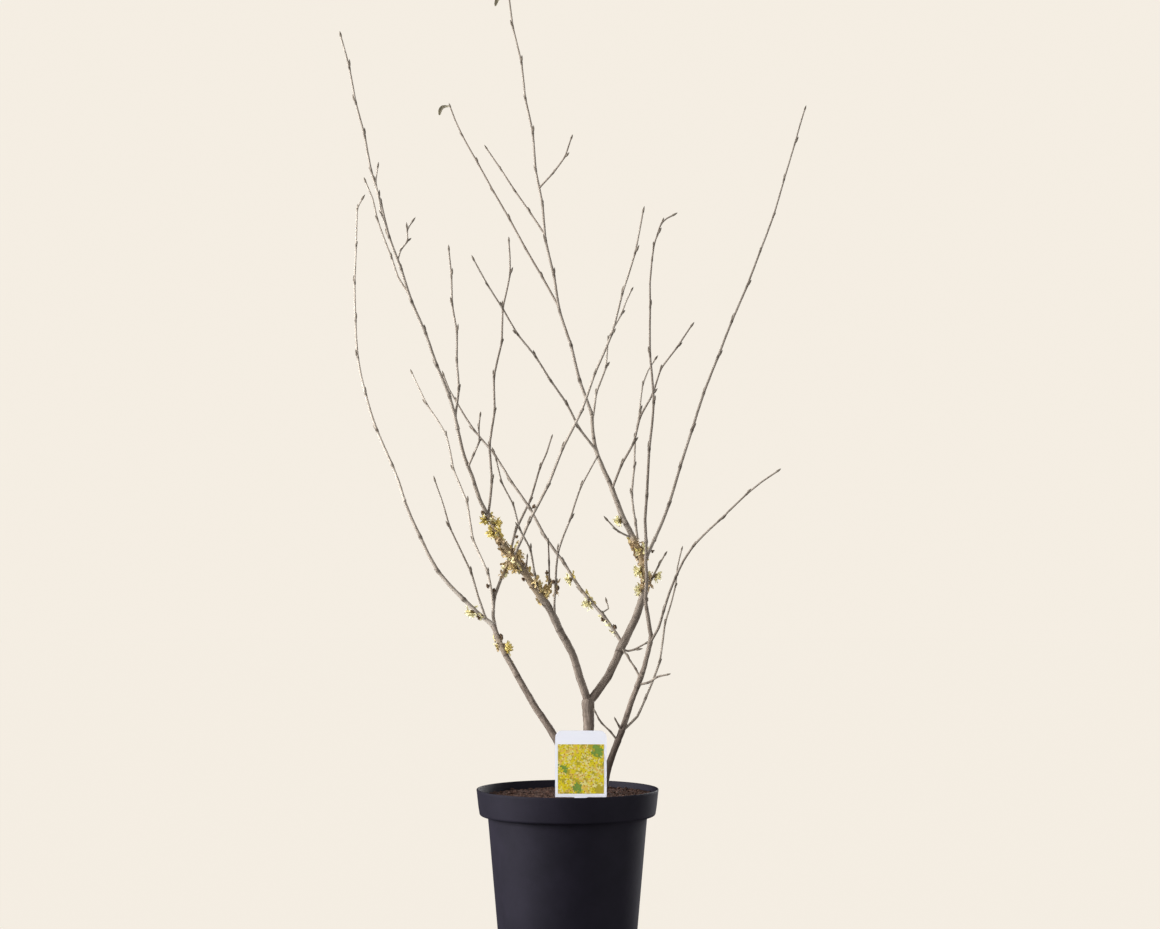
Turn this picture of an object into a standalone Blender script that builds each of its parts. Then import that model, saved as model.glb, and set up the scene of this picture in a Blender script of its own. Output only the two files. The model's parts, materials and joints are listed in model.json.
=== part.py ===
"""Witch hazel in winter, in a nursery pot: a bare clump of three stems with forked boughs and slender
zigzag twigs, a few thin-petalled blossoms low in the crown, potting compost and a stick-in plant label.

The origin is the centre of the pot's flat underside. +Z is up, and -Y is the side the label faces.
"""
import math
import random
from collections import namedtuple

import bmesh
import bpy
from mathutils import Matrix, Vector

MM = 0.001
CLEAR = 0.3 * MM
MERGE = 0.002 * MM
SHARP_EDGE = math.radians(40.0)
BACK = Vector((0.0, 1.0, 0.0))

# Pot: an injection-moulded shell with a deep stepped rim band
POT_HEIGHT = 0.182
POT_FOOT_RADIUS = 0.0880
POT_STEP_RADIUS = 0.1008
POT_STEP_HEIGHT = 0.1485
POT_BAND_RADIUS = 0.1114
POT_RIM_RADIUS = 0.1151
POT_WALL = 0.0020
POT_LIP = 0.0012
POT_ROUND = 0.0030
POT_STEPS = 48
DRAIN_HOLES = 8
DRAIN_RADIUS = 0.0070
DRAIN_RING_RADIUS = 0.0700
DRAIN_SIDES = 12

# Compost: fills the pot to a little under the rim
COMPOST_TOP = 0.1730
COMPOST_ROUND = 0.0020

# Label: a printed card on a spike, stuck in the compost just inside the rim
LABEL_WIDTH = 0.0635
LABEL_FOOT_HEIGHT = 0.1812
LABEL_HEIGHT = 0.0820
LABEL_CORNER = 0.0090
LABEL_CORNER_STEPS = 4
LABEL_THICKNESS = 0.0010
LABEL_X = 0.0168
LABEL_Y = -0.0960
SPIKE_WIDTH = 0.0160
SPIKE_DEPTH = 0.0260
SPIKE_TIP_WIDTH = 0.0040
SPIKE_TAPER_FROM = 0.7

# Wood: how finely a limb is drawn along its course, and how far its nodes stand off in depth
BOUGH_STEP = 0.016
TWIG_STEP = 0.028
CURL_STEP = 0.010
CURLED = 0.10
NODE_DEPTH = 0.6
BOUGH_ROUNDNESS = 2
TWIG_ROUNDNESS = 0
FOOT_UPRIGHT = 0.004
ROOT_FLARE = 0.50
ROOT_FLARE_HEIGHT = 0.016
COLLAR_CLEAR = 0.0008
COLLAR_SEEK = 0.00025
COLLAR_LATEST = 0.9
SHORTEST_SHARE = 0.004
FORK_SWELL = 1.08
KNUCKLE_SIDES = 8

# Winter buds: slim, pressed to the twig, and some of them hardly swollen
BUD_LENGTH = 0.0105
BUD_THICKNESS = 0.0027
BUD_SIDES = 4
BUD_ANGLE = math.radians(6.0)
BUD_SPREAD = 0.8
BUD_SINK = 0.5
BUD_FREE_FOOT = 0.016
SMALL_BUDS = 0.35
SMALL_BUD = 0.6

# Blossom: a cluster of crumpled ribbon petals standing out of small round calyxes
CALYX_RADIUS = 0.0022
CALYX_SIDES = 5
SPENT_CALYXES = 2
SPENT_RADIUS = 0.0019
SPENT_SPREAD = 0.0026
SPENT_STALK = 0.0031
SPENT_ROOT = 0.6
CALYX_STAND = 0.4
CLUSTER_RUN = 0.02
PETALS = 6
PETAL_JITTER = 0.25
PETAL_OPENING = (40.0, 75.0)
PETAL_SHARES = (0.8, 1.15)
PETAL_LENGTH = 0.0105
PETAL_WIDTH = 0.0015
PETAL_THICKNESS = 0.0006

# Each limb leaves its parent at a share of the parent's length and reaches a tip. Between the two it
# bows off its chord, to the right as seen from the front, by amounts at equal shares of the way, and
# sways back by some depth at the middle. It has a number of straight stretches, and the nodes between
# them stand off to the right and the left in turn: zig is the first node's, to the right. All in
# millimetres. A limb whose node is its parent's is fused to it; any other starts just clear of a short
# collar on its parent.
Limb = namedtuple("Limb", "node parent at tip bow sway thick steps zig")
LIMBS = {
    "trunk": Limb("trunk", None, (26, 0), (26, 0, 290), (0, 0), 0, (11.2, 14.8), 4, 0.6),
    "left_stem": Limb("left_stem", None, (9, -15), (-95, 48, 386), (9, 0), 0, (10.9, 6.6), 4, 1.2),
    "right_stem": Limb("right_stem", None, (43, 12), (105, -35, 376), (-1, 2), 0, (9.3, 5.6), 5, -0.7),
    "left_bough": Limb("left_bough", "trunk", 1.0, (-81, -38, 491), (12, 11), 0, (10.0, 8.6), 7, -1.0),
    "right_bough": Limb("right_bough", "trunk", 1.0, (100, 30, 437), (7, 6), 0, (10.8, 9.4), 4, 1.2),
    "left_leader": Limb("left_leader", "left_bough", 1.0, (-136, -70, 635), (-5, -5), 0, (5.6, 3.9), 5, 0.8),
    "tall_leader": Limb("tall_leader", "right_bough", 1.0, (31, 45, 655), (1, -7), 0, (9.4, 3.9), 5, 1.4),
    "right_leader": Limb("right_leader", "right_stem", 1.0, (98, -60, 494), (-4, -2), 0, (5.5, 3.6), 5, 0.8),

    "left_top": Limb(
        "twigs_left_top", "left_leader", 1.0, (-276, -150, 1115), (-3, -11, -12, -6), 0, (3.9, 1.7), 12, 0.9),
    "left_top_side": Limb(
        "twigs_left_top", "left_top", 0.35, (-252, -60, 945), (-7, 0), 0, (2.1, 1.5), 3, 3.1),
    "left_top_twig": Limb(
        "twigs_left_top", "left_top", 0.52, (-229, -170, 953), (-4, -5), 0, (1.9, 1.4), 4, -1.0),
    "left_top_spur": Limb(
        "twigs_left_top", "left_top", 0.44, (-191, -85, 893), (1, 0), 0, (1.9, 1.4), 4, -2.2),
    "left_top_inner": Limb(
        "twigs_left_top", "left_top", 0.03, (-149, -30, 862), (6, 3), 0, (2.8, 1.6), 6, 1.2),
    "leader_twig": Limb(
        "twigs_left_fork", "left_leader", 0.69, (-107, -110, 653), (5, 4), 0, (2.4, 1.5), 4, -1.2),
    "left_inner": Limb(
        "twigs_left_inner", "left_leader", 0.26, (-75, 30, 877), (-2, -4, -2, 2), 0, (3.0, 1.6), 8, 2.2),

    "front_reach": Limb(
        "twigs_front", "left_bough", 0.91, (91, -235, 894), (7, 13, 16, 12), -15, (3.7, 1.6), 9, -1.3),
    "fork_twig": Limb("twigs_low_left", "left_bough", 0.65, (-87, -130, 598), (4, 1), 0, (2.9, 1.5), 6, -1.8),
    "centre_twig": Limb(
        "twigs_low_centre", "left_bough", 0.50, (37, -105, 601), (-15, -13), 0, (2.8, 1.5), 5, 1.5),
    "bough_spur": Limb("left_bough", "left_bough", 0.60, (-24, -42, 495), (2, 3), 0, (2.3, 1.5), 3, 1.0),
    "bough_knob_twig": Limb("left_bough", "left_bough", 0.82, (-50, -52, 477), (0, 1), 0, (2.4, 1.6), 2, 0.8),

    "left_whip": Limb(
        "twigs_left_whip", "left_stem", 1.0, (-209, 62, 544), (-15, -14), 0, (5.4, 3.4), 4, 1.2),
    "left_whip_top": Limb(
        "twigs_left_whip", "left_whip", 1.0, (-274, 120, 925), (-16, -29, -27, -15), 0, (3.4, 1.7), 8, 0.4),
    "left_whip_tip": Limb(
        "twigs_left_whip", "left_whip_top", 1.0, (-267, 120, 938), (-1, -1), 0, (1.7, 1.5), 1, 0.0),
    "left_whip_side": Limb(
        "twigs_left_whip", "left_whip", 0.06, (-167, -20, 572), (-1, 1), 0, (3.0, 1.5), 3, 3.7),
    "left_back": Limb(
        "twigs_left_back", "left_stem", 0.94, (-22, 205, 628), (-15, -13, -9, -3), 10, (4.4, 1.7), 6, -2.1),
    "left_back_side": Limb(
        "twigs_left_back", "left_back", 0.12, (-209, 230, 714), (7, 10, 14, 11), 0, (3.1, 1.6), 7, 2.8),

    "tall_top": Limb(
        "twigs_tall_top", "tall_leader", 1.0, (-76, 60, 1197), (-12, -14, -8, -3), 0, (3.8, 1.8), 12, -1.4),
    "tall_top_right": Limb("twigs_tall_top", "tall_top", 0.54, (5, 10, 1006), (6, 5), 0, (2.1, 1.4), 3, -1.3),
    "tall_top_left": Limb(
        "twigs_tall_top", "tall_top", 0.43, (-106, 110, 1002), (0, 0), 0, (2.2, 1.4), 4, 0.3),
    "tall_back": Limb(
        "twigs_tall_top", "tall_top", 0.26, (-157, 205, 1067), (-1, -2, -3, -4), 0, (2.6, 1.5), 7, 0.3),
    "tall_top_leaf": Limb("twigs_tall_top", "tall_top", 1.0, (-93, 60, 1179), (3, 5), 0, (1.6, 3.6), 1, 0.0),
    "tall_back_leaf": Limb(
        "twigs_tall_top", "tall_back", 1.0, (-171, 205, 1055), (4, 5), 0, (1.5, 3.6), 1, 0.0),
    "middle_left": Limb(
        "twigs_middle_left", "tall_leader", 0.80, (-116, -95, 845), (-1, 0, -3, -3), 0, (3.1, 1.6), 8, -0.9),
    "middle_back": Limb(
        "twigs_middle_back", "tall_leader", 0.96, (84, 165, 822), (-5, -8), 0, (2.7, 1.6), 5, -2.8),
    "right_middle": Limb(
        "twigs_right_middle", "tall_leader", 0.57, (155, -60, 765), (-4, -9), 0, (2.9, 1.5), 7, -2.0),
    "right_back": Limb(
        "twigs_right_back", "tall_leader", 0.18, (116, 190, 732), (-12, -17, -17, -15), 0, (3.0, 1.6), 7, 1.0),
    "leader_spur": Limb("tall_leader", "tall_leader", 0.27, (49, 22, 522), (-4, -3), 0, (2.4, 1.5), 2, 0.3),
    "knee_spur": Limb("right_bough", "right_bough", 0.95, (125, 42, 478), (-1, 1), 0, (2.7, 1.5), 3, 1.2),
    "crossing_limb": Limb(
        "twigs_crossing", "right_bough", 0.52, (-163, 140, 709), (-5, -6, -3, -6), 25, (4.4, 1.7), 10, 1.1),
    "crossing_hook": Limb(
        "twigs_crossing", "crossing_limb", 0.12, (49, 50, 418), (6, 6), 0, (1.6, 1.3), 1, 0.0),
    "crook_twig": Limb("right_bough", "right_bough", 0.48, (100, 2, 366), (5, 3), 0, (2.6, 1.5), 2, 0.2),

    "right_top": Limb(
        "twigs_right_top", "right_leader", 1.0, (104, -120, 843), (-1, 4, 3, -2), 0, (3.5, 1.7), 6, 1.4),
    "right_top_end": Limb(
        "twigs_right_top", "right_top", 1.0, (131, -128, 897), (-6, -9), 0, (1.7, 1.5), 4, -0.9),
    "right_whip_foot": Limb(
        "twigs_right_whip", "right_leader", 0.84, (108, -42, 496), (0, 0), 0, (4.4, 4.0), 1, 0.0),
    "right_whip": Limb(
        "twigs_right_whip", "right_whip_foot", 1.0, (306, 85, 1051), (0, -1, 5, 6), 0, (3.7, 1.5), 12, 0.4),
    "right_reach": Limb(
        "twigs_right_reach", "right_stem", 0.96, (253, -215, 584), (-13, -27, -25, -15), 0, (3.1, 1.5), 6, -0.7),
    "right_low": Limb(
        "twigs_right_low", "right_stem", 0.40, (149, 150, 481), (18, 16, 12, 5), 0, (3.2, 1.5), 5, -2.4),
    "stem_spur_right": Limb(
        "right_stem", "right_stem", 0.70, (126, -44, 329), (2, -2), 0, (2.7, 1.6), 3, -0.4),
    "stem_spur_left": Limb("right_stem", "right_stem", 0.34, (35, -22, 280), (1, -3), 0, (2.5, 1.5), 3, -0.9),
    "stem_spur_high": Limb("right_stem", "right_stem", 0.74, (71, -8, 356), (2, 0), 0, (2.5, 1.5), 3, -0.6),
    "stem_spur_low": Limb("right_stem", "right_stem", 0.40, (60, -20, 271), (0, 0), 0, (2.6, 1.6), 2, 0.5),
}
BOUGHS = (
    "trunk",
    "left_stem",
    "right_stem",
    "left_bough",
    "right_bough",
    "left_leader",
    "tall_leader",
    "right_leader",
)

# Curled leaves of last summer that still hang at two tips, drawn as limbs that hook over
WITHERED_LEAVES = ("tall_top_leaf", "tall_back_leaf")

# Blossom clusters: the limb, the share of its length, and the side, +1 to the right and -1 to the left
BLOSSOMS = (
    ("left_stem", 0.86, 1),
    ("left_whip", 0.16, -1),
    ("left_bough", 0.66, 1),
    ("left_bough", 0.86, -1),
    ("left_bough", 0.90, 1),
    ("left_leader", 0.12, -1),
    ("left_leader", 0.18, 1),
    ("left_leader", 0.25, -1),
    ("crossing_limb", 0.17, -1),
    ("crossing_limb", 0.26, -1),
    ("right_bough", 0.96, -1),
    ("knee_spur", 0.45, 1),
    ("tall_leader", 0.09, -1),
    ("tall_leader", 0.20, 1),
    ("tall_leader", 0.39, -1),
)

# Spent clusters: dark calyxes that have dropped their petals, listed the same way
SPENT_CLUSTERS = (
    ("left_stem", 0.93, 1),
    ("left_whip", 0.10, -1),
    ("left_back", 0.22, -1),
    ("left_back_side", 0.10, -1),
    ("left_bough", 0.73, 1),
    ("left_bough", 0.78, -1),
    ("left_leader", 0.30, -1),
    ("front_reach", 0.16, -1),
    ("centre_twig", 0.19, 1),
    ("centre_twig", 0.22, -1),
    ("crossing_limb", 0.06, 1),
    ("crossing_limb", 0.10, -1),
    ("right_bough", 0.90, 1),
)

COLOURS = {
    "pot": ((0.020, 0.020, 0.023), 0.45),
    "compost": ((0.060, 0.033, 0.020), 0.95),
    "label": ((0.800, 0.800, 0.780), 0.35),
    "bark": ((0.180, 0.140, 0.110), 0.85),
    "twig": ((0.210, 0.160, 0.125), 0.80),
}


def clear_scene():
    """Remove whatever the file opened with."""
    for item in list(bpy.data.objects):
        bpy.data.objects.remove(item)


def new_collection(name):
    """Make a collection in the scene."""
    collection = bpy.data.collections.new(name)
    bpy.context.scene.collection.children.link(collection)
    return collection


def make_material(name):
    """Make a Principled material of the part's own colour and roughness."""
    colour, roughness = COLOURS[name]
    material = bpy.data.materials.new(name)
    material.use_nodes = True
    shader = material.node_tree.nodes["Principled BSDF"]
    shader.inputs["Base Color"].default_value = (*colour, 1.0)
    shader.inputs["Roughness"].default_value = roughness
    return material


def object_of(bm, name, collection):
    """Turn a bmesh into an object in a collection."""
    mesh = bpy.data.meshes.new(name)
    bm.to_mesh(mesh)
    bm.free()
    item = bpy.data.objects.new(name, mesh)
    collection.objects.link(item)
    return item


def applied(item, name, collection):
    """Replace an object by a plain mesh of what its modifiers or its curve give."""
    bpy.context.view_layer.update()
    graph = bpy.context.evaluated_depsgraph_get()
    mesh = bpy.data.meshes.new_from_object(item.evaluated_get(graph))
    bm = bmesh.new()
    bm.from_mesh(mesh)
    bmesh.ops.remove_doubles(bm, verts=bm.verts, dist=MERGE)
    bm.to_mesh(mesh)
    bm.free()
    place = item.matrix_world.copy()
    bpy.data.objects.remove(item)
    result = bpy.data.objects.new(name, mesh)
    result.matrix_world = place
    collection.objects.link(result)
    return result


def turned(name, profile, steps, collection):
    """Turn a profile of radius and height round the Z axis with a Screw."""
    bm = bmesh.new()
    points = [bm.verts.new((radius, 0.0, height)) for radius, height in profile]
    for low, high in zip(points, points[1:]):
        bm.edges.new((low, high))
    item = object_of(bm, name, collection)
    screw = item.modifiers.new("turn", "SCREW")
    screw.axis = "Z"
    screw.steps = steps
    screw.render_steps = steps
    screw.use_merge_vertices = True
    screw.merge_threshold = MERGE
    return item


def wall_radius(height):
    """Outer radius of the pot's body or rim band at a height."""
    if height < POT_STEP_HEIGHT:
        share = height / POT_STEP_HEIGHT
        return POT_FOOT_RADIUS + share * (POT_STEP_RADIUS - POT_FOOT_RADIUS)
    share = (height - POT_STEP_HEIGHT) / (POT_HEIGHT - POT_STEP_HEIGHT)
    return POT_BAND_RADIUS + share * (POT_RIM_RADIUS - POT_BAND_RADIUS)


def make_pot(parts, cutters):
    """The pot: a thin turned shell with a rim band, a lip and drain holes in its flat underside."""
    floor = POT_WALL
    ledge = POT_STEP_HEIGHT + POT_WALL
    inner_rim = wall_radius(POT_HEIGHT) - POT_WALL
    profile = [
        (0.0, floor),
        (wall_radius(floor) - POT_WALL, floor),
        (POT_STEP_RADIUS - POT_WALL, ledge),
        (wall_radius(ledge) - POT_WALL, ledge),
        (inner_rim, POT_HEIGHT - POT_LIP),
        (inner_rim + 0.5 * POT_LIP, POT_HEIGHT),
        (POT_RIM_RADIUS - 0.5 * POT_LIP, POT_HEIGHT),
        (POT_RIM_RADIUS, POT_HEIGHT - POT_LIP),
        (wall_radius(POT_STEP_HEIGHT + POT_ROUND), POT_STEP_HEIGHT + POT_ROUND),
        (POT_BAND_RADIUS - POT_ROUND, POT_STEP_HEIGHT),
        (POT_STEP_RADIUS, POT_STEP_HEIGHT),
        (wall_radius(POT_ROUND), POT_ROUND),
        (POT_FOOT_RADIUS - POT_ROUND, 0.0),
        (0.0, 0.0),
    ]
    pot = turned("pot", profile, POT_STEPS, parts)
    bm = bmesh.new()
    for number in range(DRAIN_HOLES):
        turn = math.tau * (number + 0.5) / DRAIN_HOLES
        place = Vector((math.cos(turn), math.sin(turn), 0.0)) * DRAIN_RING_RADIUS
        bmesh.ops.create_cone(
            bm,
            cap_ends=True,
            segments=DRAIN_SIDES,
            radius1=DRAIN_RADIUS,
            radius2=DRAIN_RADIUS,
            depth=4.0 * POT_WALL,
            matrix=Matrix.Translation(place),
        )
    holes = object_of(bm, "drain_hole_cutter", cutters)
    as_guide(holes)
    cut(pot, holes)
    return pot


def as_guide(item):
    """Keep a cutter out of the model."""
    item.hide_render = True
    item.display_type = "WIRE"


def cut(item, cutter):
    """Cut one object by another with a Boolean."""
    boolean = item.modifiers.new("cut", "BOOLEAN")
    boolean.operation = "DIFFERENCE"
    boolean.solver = "EXACT"
    boolean.object = cutter


def make_compost(parts, cutters):
    """The compost: a plug that follows the pot's inside, with a slot where the label's spike stands."""
    low = POT_WALL + CLEAR
    ledge = POT_STEP_HEIGHT + POT_WALL + CLEAR
    side = POT_WALL + CLEAR
    top_radius = wall_radius(COMPOST_TOP) - side
    profile = [
        (0.0, COMPOST_TOP),
        (top_radius - COMPOST_ROUND, COMPOST_TOP),
        (top_radius, COMPOST_TOP - COMPOST_ROUND),
        (wall_radius(ledge) - side, ledge),
        (POT_STEP_RADIUS - side, ledge),
        (wall_radius(low) - side, low),
        (0.0, low),
    ]
    compost = turned("compost", profile, POT_STEPS, parts)
    slot = label_shape("spike_slot_cutter", spike_outline(CLEAR), LABEL_THICKNESS + 2.0 * CLEAR, cutters)
    as_guide(slot)
    cut(compost, slot)
    return compost


def spike_outline(grow):
    """The spike's outline as x and z about the card's foot, made larger by a clearance."""
    half = 0.5 * SPIKE_WIDTH + grow
    tip = 0.5 * SPIKE_TIP_WIDTH + grow
    deep = -SPIKE_DEPTH - grow
    taper = -SPIKE_TAPER_FROM * SPIKE_DEPTH
    return [(-half, 0.0), (-half, taper), (-tip, deep), (tip, deep), (half, taper), (half, 0.0)]


def card_outline():
    """The card's outline as x and z about its foot: square at the bottom, round at the top corners."""
    half = 0.5 * LABEL_WIDTH
    points = [(half, 0.0)]
    for side, start in ((1.0, 0.0), (-1.0, 0.5 * math.pi)):
        for number in range(LABEL_CORNER_STEPS + 1):
            turn = start + 0.5 * math.pi * number / LABEL_CORNER_STEPS
            x = side * (half - LABEL_CORNER) + LABEL_CORNER * math.cos(turn)
            z = LABEL_HEIGHT - LABEL_CORNER + LABEL_CORNER * math.sin(turn)
            points.append((x, z))
    points.append((-half, 0.0))
    return points


def label_shape(name, outline, thickness, collection):
    """Extrude an outline of x and z into a thin upright plate at the label's place."""
    curve = bpy.data.curves.new(name, "CURVE")
    curve.dimensions = "2D"
    curve.fill_mode = "BOTH"
    curve.extrude = 0.5 * thickness
    spline = curve.splines.new("POLY")
    spline.points.add(len(outline) - 1)
    for point, (x, z) in zip(spline.points, outline):
        point.co = (x, z, 0.0, 1.0)
    spline.use_cyclic_u = True
    item = bpy.data.objects.new(name, curve)
    upright = Matrix.Rotation(math.pi / 2, 4, "X")
    item.matrix_world = Matrix.Translation((LABEL_X, LABEL_Y, LABEL_FOOT_HEIGHT)) @ upright
    collection.objects.link(item)
    return applied(item, name, collection)


def make_label(parts):
    """The label: one plate of card and spike."""
    return label_shape("plant_label", card_outline() + spike_outline(0.0), LABEL_THICKNESS, parts)


def bow_at(share, bows):
    """How far a limb stands off its chord at a share: the polynomial through its bows, 0 at both ends."""
    knots = [number / (len(bows) + 1) for number in range(len(bows) + 2)]
    total = 0.0
    for number, bow in enumerate(bows, start=1):
        for knot in knots[:number] + knots[number + 1:]:
            bow *= (share - knot) / (knots[number] - knot)
        total += bow
    return total


def along(points, share):
    """The point at a share of a drawn line's length."""
    lengths = [(high - low).length for low, high in zip(points, points[1:])]
    rest = share * sum(lengths)
    for low, high, length in zip(points, points[1:], lengths):
        if rest <= length:
            return low.lerp(high, rest / length)
        rest -= length
    return points[-1].copy()


def value_along(values, points, share):
    """The value, such as a radius, at a share of a drawn line's length."""
    lengths = [(high - low).length for low, high in zip(points, points[1:])]
    rest = share * sum(lengths)
    for number, length in enumerate(lengths):
        if rest <= length:
            return values[number] + (values[number + 1] - values[number]) * rest / length
        rest -= length
    return values[-1]


def node_places(name):
    """How far each node of a limb stands off its course, to the right and back: 0 at both ends."""
    limb = LIMBS[name]
    chance = random.Random(name)
    places = [Vector((0.0, 0.0))]
    for number in range(1, limb.steps):
        side = limb.zig * (-1) ** (number + 1)
        places.append(Vector((side, abs(limb.zig) * chance.uniform(-NODE_DEPTH, NODE_DEPTH))))
    places.append(Vector((0.0, 0.0)))
    return places


def points_a_stretch(name, length):
    """How many points a limb needs between one node and the next: more on a bough, and where it curls."""
    limb = LIMBS[name]
    step = TWIG_STEP
    if name in BOUGHS:
        step = BOUGH_STEP
    elif max(abs(bow) for bow in limb.bow) * MM > CURLED * length:
        step = CURL_STEP
    return max(1, round(length / limb.steps / step))


def draw_limb(name, drawn):
    """Work out a limb's course: its points and radii from its root to its tip."""
    limb = LIMBS[name]
    if limb.parent is None:
        start = Vector((*(value * MM for value in limb.at), COMPOST_TOP + CLEAR))
    else:
        start = along(drawn[limb.parent][0], limb.at)
    chord = Vector(limb.tip) * MM - start
    right = Vector((chord.z, 0.0, -chord.x)).normalized()
    nodes = node_places(name)
    fine = points_a_stretch(name, chord.length)
    points = []
    radii = []
    for number in range(limb.steps * fine + 1):
        share = number / (limb.steps * fine)
        node, part = divmod(number, fine)
        kink = nodes[node].lerp(nodes[min(node + 1, limb.steps)], part / fine)
        lean = right * (bow_at(share, limb.bow) + kink.x)
        lean += BACK * (limb.sway * 4.0 * share * (1.0 - share) + kink.y)
        points.append(start + chord * share + lean * MM)
        thick = limb.thick[0] + (limb.thick[1] - limb.thick[0]) * share
        radii.append(0.5 * thick * MM)
    if limb.parent is None:
        foot_up(points, radii)
    return points, radii


def foot_up(points, radii):
    """Stand a stem on its flat cut, upright at first, and widen it there into a root flare."""
    points.insert(1, points[0] + Vector((0.0, 0.0, FOOT_UPRIGHT)))
    radii.insert(1, radii[0])
    for number, point in enumerate(points):
        rise = point.z - points[0].z
        radii[number] *= 1.0 + ROOT_FLARE * math.exp(-rise / ROOT_FLARE_HEIGHT)


def draw_limbs():
    """Draw every limb, parents first."""
    drawn = {}
    for name in LIMBS:
        drawn[name] = draw_limb(name, drawn)
    return drawn


def distance_to_line(place, points):
    """Distance from a place to a drawn line."""
    best = 1.0
    for low, high in zip(points, points[1:]):
        run = high - low
        share = max(0.0, min(1.0, (place - low).dot(run) / run.length_squared))
        best = min(best, (low + run * share - place).length)
    return best


def split_line(points, radii, share_cut, gap):
    """Split a drawn limb in two at a share of its length, with a gap between the two cuts."""
    total = sum((high - low).length for low, high in zip(points, points[1:]))
    ends = (share_cut, share_cut + gap / total)
    marks = [0.0]
    for low, high in zip(points, points[1:]):
        marks.append(marks[-1] + (high - low).length / total)
    foot = [(p, r) for p, r, mark in zip(points, radii, marks) if mark < ends[0] - SHORTEST_SHARE]
    foot.append((along(points, ends[0]), value_along(radii, points, ends[0])))
    rest = [(along(points, ends[1]), value_along(radii, points, ends[1]))]
    rest += [(p, r) for p, r, mark in zip(points, radii, marks) if mark > ends[1] + SHORTEST_SHARE]
    return foot, rest


def collar_share(name, drawn):
    """The share of a limb's length at which it stands clear of its parent."""
    points, radii = drawn[name]
    parent_points, parent_radii = drawn[LIMBS[name].parent]
    at = LIMBS[name].at
    parent_radius = value_along(parent_radii, parent_points, at)
    total = sum((high - low).length for low, high in zip(points, points[1:]))
    share = 0.0
    while share < COLLAR_LATEST:
        place = along(points, share)
        need = parent_radius + value_along(radii, points, share) + COLLAR_CLEAR
        if distance_to_line(place, parent_points) > need:
            return share
        share += COLLAR_SEEK / total
    raise ValueError(f"{name} never leaves its parent")


def tube(name, line, resolution, collection):
    """A tapering tube with flat ends along a line of points and radii."""
    curve = bpy.data.curves.new(name, "CURVE")
    curve.dimensions = "3D"
    curve.bevel_depth = 1.0
    curve.bevel_resolution = resolution
    curve.use_fill_caps = True
    spline = curve.splines.new("POLY")
    spline.points.add(len(line) - 1)
    for point, (place, radius) in zip(spline.points, line):
        point.co = (*place, 1.0)
        point.radius = radius
    item = bpy.data.objects.new(name, curve)
    collection.objects.link(item)
    return applied(item, name, collection)


def ball(name, place, radius, sides, collection):
    """A coarse round knuckle."""
    bm = bmesh.new()
    bmesh.ops.create_uvsphere(bm, u_segments=sides, v_segments=max(3, sides // 2), radius=radius)
    bmesh.ops.translate(bm, verts=bm.verts, vec=place)
    return object_of(bm, name, collection)


def spindle(name, place, heading, length, thickness, collection):
    """A bud: a slim spindle that points along a heading from its foot."""
    bm = bmesh.new()
    bmesh.ops.create_uvsphere(bm, u_segments=BUD_SIDES, v_segments=2, radius=1.0)
    bmesh.ops.scale(bm, verts=bm.verts, vec=(0.5 * thickness, 0.5 * thickness, 0.5 * length))
    turn = heading.to_track_quat("Z", "Y").to_matrix().to_4x4()
    bm.transform(Matrix.Translation(place + heading * 0.5 * length) @ turn)
    return object_of(bm, name, collection)


def bud_places(name, drawn):
    """Where buds stand on a twig: on the outer side of each node, and at the tip, with each one's size."""
    limb = LIMBS[name]
    points, radii = drawn[name]
    fine = (len(points) - 1) // limb.steps
    chance = random.Random(name + " buds")
    places = []
    for node in range(1, limb.steps):
        point = points[node * fine]
        forward = (point - points[node * fine - 1]).normalized()
        right = BACK.cross(forward).normalized()
        outer = right * math.copysign(1.0, limb.zig) * (-1) ** (node + 1)
        side = Matrix.Rotation(chance.uniform(-BUD_SPREAD, BUD_SPREAD), 3, forward) @ outer
        size = SMALL_BUD if chance.random() < SMALL_BUDS else 1.0
        if (point - points[0]).length < BUD_FREE_FOOT:
            continue
        heading = forward * math.cos(BUD_ANGLE) + side * math.sin(BUD_ANGLE)
        places.append((point + side * BUD_SINK * radii[node * fine], heading, size))
    forward = (points[-1] - points[-2]).normalized()
    places.append((points[-1] - forward * 0.5 * BUD_LENGTH, forward, 1.0))
    return places


def blossom(name, place, outward, collection):
    """A blossom cluster: crumpled ribbon petals round a calyx, sunk in the limb it grows from."""
    chance = random.Random(name)
    ball(name + "_calyx", place, CALYX_RADIUS, CALYX_SIDES, collection)
    turn = outward.to_track_quat("Z", "Y").to_matrix().to_4x4()
    for number in range(PETALS):
        around = math.tau * (number + chance.uniform(-PETAL_JITTER, PETAL_JITTER)) / PETALS
        open_by = math.radians(chance.uniform(*PETAL_OPENING))
        long = PETAL_LENGTH * chance.uniform(*PETAL_SHARES)
        bm = bmesh.new()
        bmesh.ops.create_cube(bm, size=1.0)
        bmesh.ops.scale(bm, verts=bm.verts, vec=(PETAL_WIDTH, PETAL_THICKNESS, long))
        bmesh.ops.translate(bm, verts=bm.verts, vec=(0.0, 0.0, 0.5 * long))
        lean = Matrix.Rotation(around, 4, "Z") @ Matrix.Rotation(open_by, 4, "X")
        bm.transform(Matrix.Translation(place) @ turn @ lean)
        object_of(bm, f"{name}_petal_{number}", collection)


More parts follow.
